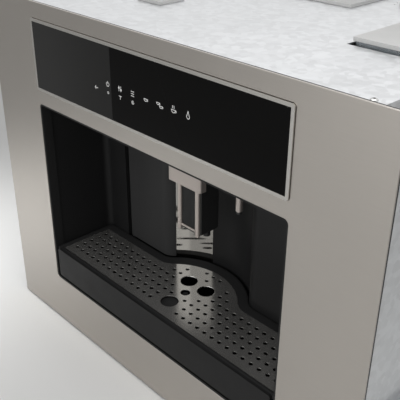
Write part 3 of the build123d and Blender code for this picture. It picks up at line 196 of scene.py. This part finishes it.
def brushed_steel(name, colour, grain, roughness, uneven=0.06, metallic=1.0):
    """Brushed stainless steel: fine scratches along the grain, soft rolling marks and wipe marks."""
    finish = Finish(name, Metallic=metallic)
    scratches = finish.noise(grain, 3.0, 0.6)
    rolling = finish.noise((7.0, 7.0, 7.0), 2.0)
    wiped = finish.noise((26.0, 26.0, 14.0), 3.0, 0.6)
    tone = scratches * 0.65 + rolling * 0.35
    finish.set(
        Base_Color=tone.mix(shade(colour, 0.92), shade(colour, 1.08)),
        Roughness=roughness + (scratches - 0.5) * uneven + (wiped - 0.5) * (uneven * 0.6),
        Normal=finish.bump(scratches, 2e-6, 0.6),
    )
    return finish.material


def moulded(name, colour, roughness, grain_depth=1.6e-5, grain=1400.0, level=0.35):
    """Moulded plastic: a fine sparked grain, flow marks and patches that hands have polished."""
    finish = Finish(name, Specular_IOR_Level=level)
    sparked = finish.noise((grain,) * 3, 2.0, 0.55)
    flow = finish.noise((9.0, 9.0, 16.0), 2.0)
    handled = finish.noise((38.0,) * 3, 4.0, 0.62)
    dust = finish.specks(330.0, 0.07)
    tone = flow * 0.6 + sparked * 0.4
    finish.set(
        Base_Color=(dust * 0.12).mix(tone.mix(shade(colour, 0.82), shade(colour, 1.18)), (0.2, 0.19, 0.18)),
        Roughness=(handled * 0.7 + sparked * 0.3).ramp(0.25, 0.75, roughness - 0.07, roughness + 0.07),
        Normal=finish.bump(sparked, grain_depth, 0.7),
    )
    return finish.material


def tray_plastic(name, colour, basin_painted_shade, wet_and_shaded_top):
    """Moulded plastic that is smoother where waste water has stood in it, and darker there with painted shade
    of the basin under the grid.
    """
    finish = Finish(name, Specular_IOR_Level=0.02)
    sparked = finish.noise((1400.0,) * 3, 2.0, 0.55)
    flow = finish.noise((9.0, 9.0, 16.0), 2.0)
    marks = finish.noise((60.0, 60.0, 20.0), 3.0, 0.6)
    # Low in the basin the plastic is smoother, and its darker colour there is painted shade under the grid.
    dry_and_unshaded = (finish.z + marks * 2.0 * MM).ramp(wet_and_shaded_top, wet_and_shaded_top + 2.0 * MM)
    tone = (flow * 0.6 + sparked * 0.4).mix(shade(colour, 0.85), shade(colour, 1.15))
    finish.set(
        Base_Color=dry_and_unshaded.mix(basin_painted_shade, tone),
        Roughness=0.3 + dry_and_unshaded * 0.2 + marks * 0.1,
        Normal=finish.bump(sparked, 1.6e-5, 0.7),
    )
    return finish.material


def gloss_black(name, colour, roughness, level):
    """Polished black moulding: a faint ripple, dust specks and soft wipe marks."""
    finish = Finish(name, Specular_IOR_Level=level)
    flow = finish.noise((14.0, 14.0, 9.0), 2.0)
    wipes = finish.noise((44.0, 44.0, 30.0), 4.0, 0.65)
    dust = finish.specks(420.0, 0.08)
    tone = flow * 0.8 + dust * 0.2
    finish.set(
        Base_Color=tone.mix(shade(colour, 0.8), shade(colour, 1.25)),
        Roughness=roughness + wipes.ramp(0.35, 0.8, 0.0, 0.05) + dust * 0.12,
        Normal=finish.bump(finish.noise((90.0,) * 3, 1.0), 5e-6, 0.4),
    )
    return finish.material


def zinc_sheet(name, colour, roughness):
    """Galvanised sheet: small crystals under a thin haze, with faint lines from the rolling mill."""
    finish = Finish(name, Metallic=0.9)
    crystals = finish.crystals(150.0)
    haze = finish.noise((6.0,) * 3, 3.0, 0.6)
    rolling = finish.noise((900.0, 14.0, 900.0), 2.0)
    tone = crystals * 0.45 + haze * 0.4 + rolling * 0.15
    finish.set(
        Base_Color=tone.mix(shade(colour, 0.80), shade(colour, 1.06)),
        Roughness=roughness + crystals * 0.12 + haze * 0.10,
        Normal=finish.bump(rolling * 0.5 + crystals * 0.5, 1e-5, 0.6),
    )
    return finish.material


def splash_plate(name, colour):
    """Polished plate behind the spout, with upright hairlines and dried splashes."""
    finish = Finish(name, Metallic=1.0)
    hairlines = finish.noise((700.0, 700.0, 9.0), 2.0, 0.6)
    splashes = finish.noise((70.0, 70.0, 34.0), 4.0, 0.6)
    tone = hairlines * 0.5 + splashes * 0.5
    finish.set(
        Base_Color=tone.mix(shade(colour, 0.92), shade(colour, 1.08)),
        Roughness=0.05 + splashes.ramp(0.45, 0.8, 0.0, 0.06) + hairlines * 0.02,
        Normal=finish.bump(finish.noise((22.0, 22.0, 12.0), 1.0), 1.5e-5, 0.35),
    )
    return finish.material


def cast_metal(name, colour):
    """Aluminium as it leaves the mould: sandy skin with darker pools."""
    finish = Finish(name, Metallic=1.0)
    sand = finish.noise((620.0,) * 3, 4.0, 0.7)
    pools = finish.noise((28.0,) * 3, 2.0)
    tone = sand * 0.6 + pools * 0.4
    finish.set(
        Base_Color=tone.mix(shade(colour, 0.7), shade(colour, 1.2)),
        Roughness=0.42 + sand * 0.22,
        Normal=finish.bump(sand, 6e-5, 0.8),
    )
    return finish.material


def turned_metal(name, colour, roughness):
    """Turned metal: rings left by the tool along its height, and a little tarnish."""
    finish = Finish(name, Metallic=1.0)
    rings = finish.z.wave(1.1 * MM)
    tarnish = finish.noise((160.0, 160.0, 90.0), 4.0, 0.62)
    finish.set(
        Base_Color=tarnish.mix(shade(colour, 0.75), shade(colour, 1.1)),
        Roughness=roughness + tarnish * 0.14,
        Normal=finish.bump(rings * 0.5 + tarnish * 0.5, 5e-6, 0.6),
    )
    return finish.material


def nozzle_metal(name, colour, rubber_top):
    """Polished tube whose lowest stretch is a black rubber tip."""
    finish = Finish(name)
    metal = finish.z > rubber_top
    drag = finish.noise((300.0, 300.0, 24.0), 3.0)
    steel = drag.mix(shade(colour, 0.9), shade(colour, 1.1))
    finish.set(
        Base_Color=metal.mix((0.012, 0.012, 0.013), steel),
        Metallic=metal,
        Roughness=0.5 - metal * 0.3 + drag * 0.08,
        Normal=finish.bump(drag, 4e-6, 0.5),
    )
    return finish.material


def circuit_board(name):
    """Green solder mask over copper tracks, with tinned pads."""
    finish = Finish(name)
    patches = finish.noise((90.0, 90.0, 22.0)).ramp(0.5, 0.52)
    tracks = (finish.z.wave(4.2 * MM) > 0.72) * patches
    cross = abs(finish.x.wave(6.1 * MM) + finish.y.wave(6.1 * MM)) > 0.93
    pads = finish.specks(210.0, 0.14)
    mask = (tracks * 0.7 + cross * 0.3).mix((0.012, 0.085, 0.036), (0.035, 0.19, 0.075))
    finish.set(
        Base_Color=pads.mix(mask, (0.62, 0.60, 0.54)),
        Roughness=0.3 + pads * 0.1,
        Normal=finish.bump(tracks + pads, 3e-5, 0.6),
    )
    return finish.material


def clear_plastic(name, tint, roughness, passing):
    """Clear moulded plastic with flow lines and scuffs."""
    finish = Finish(name, Transmission_Weight=passing, IOR=1.49)
    scuffs = finish.noise((130.0, 130.0, 60.0), 4.0, 0.7)
    flow = finish.noise((18.0, 18.0, 8.0), 2.0)
    finish.set(
        Base_Color=flow.mix(shade(tint, 0.82), tint),
        Roughness=roughness + scuffs.ramp(0.45, 0.8, 0.0, 0.16),
        Normal=finish.bump(flow, 4e-5, 0.5),
    )
    return finish.material


def lamp_lens(name):
    """Frosted lens with fine ribs across it."""
    finish = Finish(name, Transmission_Weight=0.35, IOR=1.49)
    ribs = finish.x.wave(2.0 * MM)
    frost = finish.noise((900.0,) * 3, 2.0)
    finish.set(
        Base_Color=frost.mix((0.62, 0.64, 0.66), (0.80, 0.81, 0.82)),
        Roughness=0.32 + frost * 0.2,
        Normal=finish.bump(ribs * 0.5 + 0.5, 1.2e-4, 0.8),
    )
    return finish.material


def control_glass(name):
    """Flat glass with a black back, a paler display window with a painted glow that fades away from the left,
    smears and dust.
    """
    low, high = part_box("control_glass")
    window_share = 0.38
    window_right = low.x + window_share * (high.x - low.x)
    finish = Finish(name, Specular_IOR_Level=0.05)
    window = finish.x.ramp(window_right, window_right + 1.0 * MM, 1.0, 0.0)
    smears = finish.noise((34.0, 34.0, 11.0), 4.0, 0.62)
    dust = finish.specks(520.0, 0.05)
    # Painted glow: the display window's tone is lighter at its left end and fades towards the right.
    window_painted_glow = finish.x.ramp(low.x, window_right, 1.0, 0.0).mix((0.0215, 0.0215, 0.0211), (0.0330, 0.0330, 0.0325))
    back = window.mix((0.0036, 0.0035, 0.0034), window_painted_glow)
    finish.set(
        Base_Color=(dust * 0.2).mix(back, (0.05, 0.05, 0.05)),
        Roughness=0.05 + smears.ramp(0.45, 0.8, 0.0, 0.06) + dust * 0.1,
        Normal=finish.bump(smears, 2e-6, 0.3),
    )
    return finish.material


def ink(name, colour):
    """Printed ink with a slightly broken edge of tone."""
    finish = Finish(name, Specular_IOR_Level=0.3)
    cover = finish.noise((2400.0,) * 3, 3.0, 0.6)
    finish.set(
        Base_Color=cover.mix(shade(colour, 0.85), colour),
        Roughness=0.45 + cover * 0.2,
        Normal=finish.bump(cover, 3e-6, 0.4),
    )
    return finish.material


PANEL = (0.468, 0.439, 0.406)
SPOUT = (0.468, 0.418, 0.385)
WHITE_INK = ink("white_ink", (0.78, 0.78, 0.77))
by_slot = {                            # finish of each of the record's material slots
    "brushed_steel": brushed_steel("panel_steel", PANEL, ALONG_X, 0.30),
    "polished_steel": splash_plate("splash_plate", (0.42, 0.41, 0.39)),
    "spout_steel": brushed_steel("spout_steel", SPOUT, ALONG_Z, 0.34, metallic=0.7),
    "glass_panel": control_glass("control_glass"),
    "clear_glass": lamp_lens("lamp_lens"),
    "black_gloss": gloss_black("gloss_black", (0.0165, 0.0165, 0.0168), 0.34, 0.11),
    "black_plastic": moulded("black_plastic", (0.024, 0.024, 0.0243), 0.40, level=0.25),
    "grey_plastic": moulded("grey_plastic", (0.018, 0.018, 0.0182), 0.42, level=0.12),
    "light_plastic": moulded("light_plastic", (0.60, 0.60, 0.59), 0.40),
    "tank_plastic": clear_plastic("tank_plastic", (0.74, 0.80, 0.84), 0.12, 0.75),
    "smoked_plastic": clear_plastic("smoked_plastic", (0.20, 0.19, 0.18), 0.10, 0.6),
    "galvanised": zinc_sheet("zinc_sheet", (0.72, 0.73, 0.74), 0.36),
    "board_green": circuit_board("circuit_board"),
    "cast_aluminium": cast_metal("cast_aluminium", (0.58, 0.59, 0.60)),
    "brass": turned_metal("brass", (0.72, 0.53, 0.24), 0.20),
    "hose_white": moulded("hose_silicone", (0.72, 0.71, 0.66), 0.46, 1.0e-5, 500.0),
    "screw_steel": turned_metal("plated_steel", (0.60, 0.60, 0.59), 0.22),
}
rubber_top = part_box("hot_water_nozzle")[0].z + 2.5 * MM
# Under this height the tray is smoother, and its colour is painted darker as shade under the grid.
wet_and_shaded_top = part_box("drip_tray")[1].z - 5.0 * MM
by_node = {                            # nodes that differ from their slot
    "control_frame": brushed_steel("frame_steel", (0.555, 0.54, 0.512), ALONG_X, 0.26),
    "service_door": gloss_black("door_black", (0.039, 0.039, 0.0392), 0.34, 0.06),
    "spout_sleeve": gloss_black("sleeve_black", (0.028, 0.028, 0.0283), 0.28, 0.2),
    "tray_tub": moulded("tub_plastic", (0.008, 0.008, 0.0081), 0.5, level=0.05),
    "tray_front": moulded("front_plastic", (0.014, 0.014, 0.0142), 0.42, level=0.10),
    # The near-black third colour is painted shade in the basin.
    "drip_tray": tray_plastic("tray_plastic", (0.034, 0.034, 0.0342), (0.005, 0.005, 0.005), wet_and_shaded_top),
    "drip_grid": brushed_steel("grid_steel", (0.49, 0.48, 0.46), ALONG_X, 0.17, 0.04, 0.78),
    "spout_band": brushed_steel("band_steel", shade(SPOUT, 0.93), ALONG_X, 0.36, metallic=0.55),
    "hot_water_nozzle": nozzle_metal("nozzle_steel", (0.50, 0.455, 0.42), rubber_top),
}
for name, node in nodes.items():
    for place, held in enumerate(node.data.materials):
        slot_name = held.name.split(".")[0]
        node.data.materials[place] = by_node.get(name) or by_slot[slot_name]


# ---- Making pieces ----
def profile(base, *points):
    """(radius, height) points in metres, from points in millimetres that count from a base height."""
    return [(radius * MM, base + height * MM) for radius, height in points]


def turn(mesh, outline, steps, closed=False):
    """Spins a (radius, height) outline about the Z axis and returns its new points."""
    verts = [mesh.verts.new((radius, 0.0, height)) for radius, height in outline]
    loop = zip(verts, verts[1:] + verts[:1]) if closed else zip(verts, verts[1:])
    edges = [mesh.edges.new(pair) for pair in loop]
    before = set(mesh.verts) - set(verts)
    full_turn = 2 * math.pi
    bmesh.ops.spin(
        mesh, geom=verts + edges, cent=(0, 0, 0), axis=(0, 0, 1), angle=full_turn, steps=steps, use_merge=True
    )
    return [vert for vert in mesh.verts if vert not in before]


def thicken(mesh, faces, height):
    """Raises a copy of flat faces along Z and closes the sides."""
    lifted = bmesh.ops.extrude_face_region(mesh, geom=faces, use_keep_orig=True)["geom"]
    tops = [part for part in lifted if isinstance(part, bmesh.types.BMVert)]
    bmesh.ops.translate(mesh, verts=tops, vec=(0, 0, height))


def piece(name, mesh, body, material):
    """Turns a finished mesh into a piece that rides on a body."""
    bmesh.ops.remove_doubles(mesh, verts=mesh.verts, dist=1e-6)
    bmesh.ops.recalc_face_normals(mesh, faces=mesh.faces)
    data = bpy.data.meshes.new(name)
    mesh.to_mesh(data)
    mesh.free()
    data.materials.append(material)
    made = bpy.data.objects.new(name, data)
    scene.collection.objects.link(made)
    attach(made, body)


# ---- Edges of the grid's holes, and dark liners in them as painted shade ----
grid_node = nodes["drip_grid"]
grid_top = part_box("drip_grid")[1].z
front_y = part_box("front_panel")[0].y

hole_radius = 2.6 * MM
hole_pitch_x = 12.1 * MM
hole_pitch_y = 12.3 * MM
first_row = 24.5 * MM                  # behind the steel face
hole_rows = 8
columns_a_side = 15
cup_hole_radius = 11.25 * MM
float_hole_radius = 6.25 * MM
large_ring_steps = 48
small_ring_steps = 12


def behind_face(x, depth):
    """Place in metres, from millimetres across and behind the steel face."""
    return x * MM, front_y + depth * MM


rear_cup_holes = (behind_face(-15.5, 82.0), behind_face(15.5, 82.0))
front_cup_hole = behind_face(0.0, 35.0)
float_hole = behind_face(0.0, 61.3)


def plate_at(x, y):
    """Whether the grid's plate is under this place."""
    start_height = 10.0 * MM
    plate_depth = 1.0 * MM
    start = Vector((x, y, grid_top + start_height))
    return grid_node.ray_cast(start, Vector((0, 0, -1)), distance=start_height + plate_depth)[0]


def plate_round(x, y):
    """Whether there is plate on all four sides of a small hole at this place."""
    reach = 1.5 * hole_radius
    sides = ((reach, 0.0), (0.0, reach), (-reach, 0.0), (0.0, -reach))
    return all(plate_at(x + across, y + along) for across, along in sides)


def small_holes():
    """Middles of the small holes: the places of their pattern where the plate has one."""
    places = [
        (column * hole_pitch_x, front_y + first_row + row * hole_pitch_y)
        for row in range(hole_rows)
        for column in range(-columns_a_side, columns_a_side + 1)
    ]
    return [place for place in places if plate_round(*place) and not plate_at(*place)]


def hole_rings(name, material, outline, rear_outline):
    """Rings in all holes as one piece. Outlines are in millimetres from a hole's edge and the grid's top."""
    mesh = bmesh.new()

    def ring(middle, radius, points, steps):
        shape = [(radius + out * MM, up * MM) for out, up in points]
        made = turn(mesh, shape, steps, closed=True)
        bmesh.ops.translate(mesh, verts=made, vec=(*middle, grid_top))

    for middle in rear_cup_holes:
        ring(middle, cup_hole_radius, rear_outline, large_ring_steps)
    ring(front_cup_hole, cup_hole_radius, outline, large_ring_steps)
    ring(float_hole, float_hole_radius, outline, large_ring_steps)
    for middle in small_holes():
        ring(middle, hole_radius, outline, small_ring_steps)
    piece(name, mesh, "grid", material)


sheared_edge = [(0.3, -0.05), (0.15, -0.01), (0.0, -0.01), (-0.1, -0.14), (-0.13, -0.32), (0.02, -0.36)]
rolled_edge = [
    (0.5, -0.05), (0.2, 0.06), (-0.05, -0.03), (-0.28, -0.22), (-0.42, -0.55), (-0.45, -0.9), (0.02, -0.95)
]
# The liners are a black sheet inside each hole that stands for painted shade down in the holes.
shade_liner = [(0.02, -0.32), (-0.09, -0.36), (-0.09, -1.55), (0.02, -1.6)]
edge_steel = brushed_steel("rolled_edge_steel", (0.42, 0.415, 0.40), ALONG_X, 0.18)
# Painted shade: the near-black colour of the hole liners.
painted_shade_steel = brushed_steel("painted_shade_steel", (0.008, 0.007, 0.006), ALONG_Z, 0.55, metallic=0.0)
hole_rings("grid_hole_edges", edge_steel, sheared_edge, rolled_edge)
hole_rings("grid_hole_shade_liners", painted_shade_steel, shade_liner, shade_liner)


# ---- Post in the basin ----
def basin_post():
    """A mushroom-shaped post under the front cup hole, from the basin floor to just under the grid."""
    floor_thickness = 2.4 * MM
    gap_under_grid = 2.6 * MM
    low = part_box("drip_tray")[0].z + floor_thickness
    high = grid_top - gap_under_grid
    foot = profile(low, (0.0, 0.0), (6.0, 0.0), (4.2, 4.0))
    cap = profile(high, (4.0, -3.2), (12.2, -2.0), (12.8, -1.2), (12.2, -0.4), (0.0, 0.0))
    mesh = bmesh.new()
    turn(mesh, foot + cap, 40)
    bmesh.ops.translate(mesh, verts=mesh.verts, vec=(*front_cup_hole, 0.0))
    material = moulded("post_plastic", (0.034, 0.034, 0.0342), 0.45, level=0.2)
    piece("basin_post", mesh, "tray", material)


basin_post()


# ---- Sleeve of the hot-water nozzle ----
def nozzle_sleeve():
    """A drawn tube over the nozzle, with its lower edge rolled in."""
    inner = 3.05
    outer = 3.95
    above_tip = 3.0 * MM
    low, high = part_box("hot_water_nozzle")
    middle = (low + high) / 2
    upper = profile(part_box("niche_ceiling")[0].z, (inner, 0.0), (outer, 0.0))
    lower = profile(low.z + above_tip, (outer, 0.8), (outer - 0.25, 0.2), (outer - 0.6, 0.0), (inner, 0.1))
    mesh = bmesh.new()
    turn(mesh, upper + lower, 32, closed=True)
    bmesh.ops.translate(mesh, verts=mesh.verts, vec=(middle.x, middle.y, 0.0))
    piece("nozzle_sleeve", mesh, "machine", by_slot["spout_steel"])


nozzle_sleeve()


# ---- Signs on the control glass ----
class Signs:
    """Printed strokes, drawn flat in millimetres and then stood up on the front of the glass."""

    width = 0.75
    thickness = 0.02
    overlap = 0.0002                   # each stroke is this much thicker, so that crossing ones don't flicker

    def __init__(self):
        self.mesh = bmesh.new()
        self.strokes = 0

    def print_on(self, faces):
        self.strokes += 1
        thicken(self.mesh, faces, self.thickness + self.overlap * self.strokes)

    def bar(self, x, z, start, end):
        """Straight stroke between two points that count from (x, z)."""
        (x0, z0), (x1, z1) = start, end
        place = Matrix.Translation((x + (x0 + x1) / 2, z + (z0 + z1) / 2, 0))
        angle = Matrix.Rotation(math.atan2(z1 - z0, x1 - x0), 4, "Z")
        size = Matrix.Diagonal((math.hypot(x1 - x0, z1 - z0) + self.width, self.width, 1, 1))
        verts = bmesh.ops.create_grid(self.mesh, size=0.5, matrix=place @ angle @ size)["verts"]
        self.print_on(verts[0].link_faces[:])

    def arc(self, x, z, radius, start=0.0, sweep=360.0):
        """Round stroke about (x, z), from a start angle through a sweep in degrees."""
        first = math.radians(start)
        reaches = (radius - self.width / 2, radius + self.width / 2)
        verts = [
            self.mesh.verts.new((x + reach * math.cos(first), z + reach * math.sin(first), 0))
            for reach in reaches
        ]
        edge = self.mesh.edges.new(verts)
        before = set(self.mesh.faces)
        bmesh.ops.spin(
            self.mesh, geom=[*verts, edge], cent=(x, z, 0), axis=(0, 0, 1), angle=math.radians(sweep),
            steps=max(4, round(sweep / 20)), use_merge=sweep == 360.0
        )
        self.print_on([face for face in self.mesh.faces if face not in before])

    def cup(self, x, z, size):
        """A cup with its handle to the right."""
        self.arc(x, z, size, 180.0, 180.0)
        self.bar(x, z, (-size, 0), (size, 0))
        self.arc(x + size, z - 0.4 * size, 0.42 * size, -80.0, 170.0)

    def stand_up(self, name):
        """Stands the strokes on the front of the glass, as one piece."""
        glass_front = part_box("control_glass")[0].y
        place = Matrix.Translation((0, glass_front, 0))
        upright = Matrix.Rotation(math.pi / 2, 4, "X")
        bmesh.ops.transform(self.mesh, matrix=place @ upright @ Matrix.Scale(MM, 4), verts=self.mesh.verts)
        piece(name, self.mesh, "machine", WHITE_INK)


sign_pitch = 20.95
first_sign = 0.5 - 3.5 * sign_pitch    # from the middle of the glass
sign_columns = [first_sign + place * sign_pitch for place in range(8)]
row_pitch = 9.4
below_middle = 1.1
glass_low, glass_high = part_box("control_glass")
upper_row = (glass_low.z + glass_high.z) / 2 / MM - below_middle
lower_row = upper_row - row_pitch


def menu_signs(signs):
    """Back arrow, power ring, two sliders, three lines, and the small signs under them."""
    back, power, sliders, lines = sign_columns[:4]
    signs.bar(back, lower_row, (-2.6, 0.8), (2.4, 0.8))
    signs.bar(back, lower_row, (-2.6, 0.8), (-1.0, 2.6))
    signs.bar(back, lower_row, (-2.6, 0.8), (-1.0, -1.0))
    signs.arc(power, upper_row, 2.3, 120.0, 300.0)
    signs.bar(power, upper_row, (0, 0.6), (0, 3.0))
    signs.arc(power, lower_row, 1.1)
    for side in (-1.6, 1.6):
        signs.bar(sliders, upper_row, (side, -2.6), (side, 2.6))
        signs.arc(sliders + side, upper_row - 0.6 * side, 0.9)
    signs.bar(sliders, lower_row, (-1.8, 1.4), (1.8, 1.4))
    signs.bar(sliders, lower_row, (0, -2.0), (0, 1.4))
    for level in (-2.4, 0.0, 2.4):
        signs.bar(lines, upper_row, (-2.2, level), (2.2, level))
    signs.arc(lines, lower_row, 1.7, 60.0, 300.0)
    signs.bar(lines, lower_row, (-0.8, -0.8), (0.8, 0.8))


def drink_signs(signs):
    """One cup, two cups, a steaming cup and a drop."""
    one, two, steaming, drop = sign_columns[4:]
    signs.cup(one, upper_row, 2.5)
    signs.cup(two - 1.8, upper_row + 1.3, 2.1)
    signs.cup(two + 2.6, upper_row - 1.5, 2.1)
    signs.cup(steaming, upper_row, 2.9)
    for side in (-1.1, 1.1):
        signs.bar(steaming, upper_row, (side, 1.8), (side, 4.0))
    signs.arc(drop, upper_row - 1.4, 2.0, 155.0, 230.0)
    for side in (-1, 1):
        signs.bar(drop, upper_row, (side * 1.75, -0.4), (0, 4.2))


control_signs = Signs()
menu_signs(control_signs)
drink_signs(control_signs)
control_signs.stand_up("control_signs")


# ---- Screws of the chassis sheets ----
screw_inset = 11.0 * MM                # from a sheet's edge to the middle of a screw
side_levels = (120.0 * MM, 270.0 * MM, 420.0 * MM)
sheet_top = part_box("side_right")[1].z


def pull_in_lobes(points):
    """Makes the round recess of a head six-lobed."""
    lobe_angle = math.pi / 6
    narrowing = 0.72
    for point in points:
        between_lobes = round(math.atan2(point.co.y, point.co.x) / lobe_angle) % 2
        if between_lobes and 0.1 * MM < point.co.xy.length < 1.55 * MM:
            point.co.xy *= narrowing


def screw_heads(name, places, facing):
    """Pan heads with six-lobed recesses, at these places of a sheet that faces this way."""
    mesh = bmesh.new()
    stand = Vector(facing).to_track_quat("Z", "Y").to_matrix().to_4x4()
    recess = profile(0.0, (0.0, 0.7), (1.35, 0.7), (1.5, 1.9))
    head = profile(0.0, (2.5, 1.75), (3.3, 1.1), (3.6, 0.0))
    for place in places:
        points = turn(mesh, recess + head, 12)
        pull_in_lobes(points)
        bmesh.ops.transform(mesh, matrix=Matrix.Translation(place) @ stand, verts=points)
    piece(name, mesh, "machine", by_slot["screw_steel"])


def back_screws():
    low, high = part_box("back_panel")
    left = low.x + screw_inset
    right = high.x - screw_inset
    rows = (low.z + screw_inset, high.z - screw_inset)
    places = [(x, high.y, z) for z in rows for x in (left, low.x / 3, high.x / 3, right)]
    places += [(x, high.y, (low.z + high.z) / 2) for x in (left, right)]
    screw_heads("back_panel_screws", places, (0, 1, 0))


def top_screws():
    low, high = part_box("top_panel")
    columns = (low.x + screw_inset, high.x - screw_inset)
    rows = (low.y + screw_inset, (low.y + high.y) / 2, high.y - screw_inset)
    screw_heads("top_panel_screws", [(x, y, sheet_top) for x in columns for y in rows], (0, 0, 1))


def side_screws(name, outer_face, facing):
    low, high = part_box("side_right")
    columns = (low.y + screw_inset, high.y - screw_inset)
    screw_heads(name, [(outer_face, y, z) for y in columns for z in side_levels], facing)


back_screws()
top_screws()
side_screws("side_screws_left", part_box("side_left")[0].x, (-1, 0, 0))
side_screws("side_screws_right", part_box("side_right")[1].x, (1, 0, 0))


# ---- Grind scale round the knob ----
def grind_scale():
    """Nine dots round the grind knob, from fine to coarse."""
    scale_radius = 21.0 * MM
    first_angle = 210.0
    angle_step = 30.0
    smallest_dot = 0.8 * MM
    growth = 0.14 * MM
    dot_thickness = 0.06 * MM
    low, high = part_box("grind_knob")
    knob = Vector(((low.x + high.x) / 2, (low.y + high.y) / 2, sheet_top))
    mesh = bmesh.new()
    for step in range(9):
        angle = math.radians(first_angle - angle_step * step)
        place = Matrix.Translation(knob + Vector((math.cos(angle), math.sin(angle), 0)) * scale_radius)
        radius = smallest_dot + growth * step
        dot = bmesh.ops.create_circle(mesh, cap_ends=True, radius=radius, segments=16, matrix=place)
        thicken(mesh, dot["verts"][0].link_faces[:], dot_thickness)
    piece("grind_scale", mesh, "machine", by_slot["black_plastic"])


grind_scale()


# ---- Floor ----
def lay_floor():
    half_width = 8.0
    below_object = 0.5 * MM
    mesh = bmesh.new()
    bmesh.ops.create_grid(mesh, size=half_width, matrix=Matrix.Translation((0, 0, -below_object)))
    data = bpy.data.meshes.new("floor")
    mesh.to_mesh(data)
    mesh.free()
    floor = bpy.data.objects.new("floor", data)
    scene.collection.objects.link(floor)
    paint = Finish("floor_paint", Base_Color=(0.80, 0.80, 0.79), Roughness=0.9, Specular_IOR_Level=0.1)
    data.materials.append(paint.material)


lay_floor()


# ---- Background: grey light on the object, white where it is seen, mirrored or looked at through glass ----
def hang_background():
    world = bpy.data.worlds.new("world")
    world.use_nodes = True
    scene.world = world
    sky = Shader(world.node_tree)
    seen = sky.node("ShaderNodeLightPath", output="Is Camera Ray")
    for ray in ("Is Glossy Ray", "Is Transmission Ray"):
        seen = seen.larger(sky.node("ShaderNodeLightPath", output=ray))
    background = world.node_tree.nodes["Background"]
    sky.feed(seen.mix((0.38, 0.38, 0.38), (1.0, 1.0, 1.0)), background.inputs["Color"])


hang_background()


# ---- Lamps ----
def lamp(name, place, target, size, power, spread=180.0):
    """Rectangular lamp that shines from one place at another, with its spread in degrees."""
    data = bpy.data.lights.new(name, "AREA")
    data.shape = "RECTANGLE"
    data.size, data.size_y = size
    data.energy = power
    data.spread = math.radians(spread)
    light = bpy.data.objects.new(name, data)
    scene.collection.objects.link(light)
    light.location = place
    light.rotation_mode = "QUATERNION"
    light.rotation_quaternion = (Vector(target) - Vector(place)).to_track_quat("-Z", "Y")


lamp("key", (-0.55, -0.37, 0.85), (-0.55, -0.37, 0.0), (0.25, 0.25), 0.62, 56.0)
lamp("side", (0.20, -0.32, 1.1), (0.20, -0.32, 0.0), (0.4, 0.4), 0.72, 80.0)
lamp("fill", (1.8, -2.2, 1.8), (0.0, 0.0, 0.2), (2.0, 2.0), 7.9)
lamp("front", (0.05, -1.5, 0.45), (0.0, -0.2, 0.25), (1.2, 0.5), 4.6)
lamp("top", (0.2, 0.6, 2.4), (0.0, 0.0, 0.2), (2.4, 2.4), 6.0)

scene.view_settings.view_transform = "Standard"
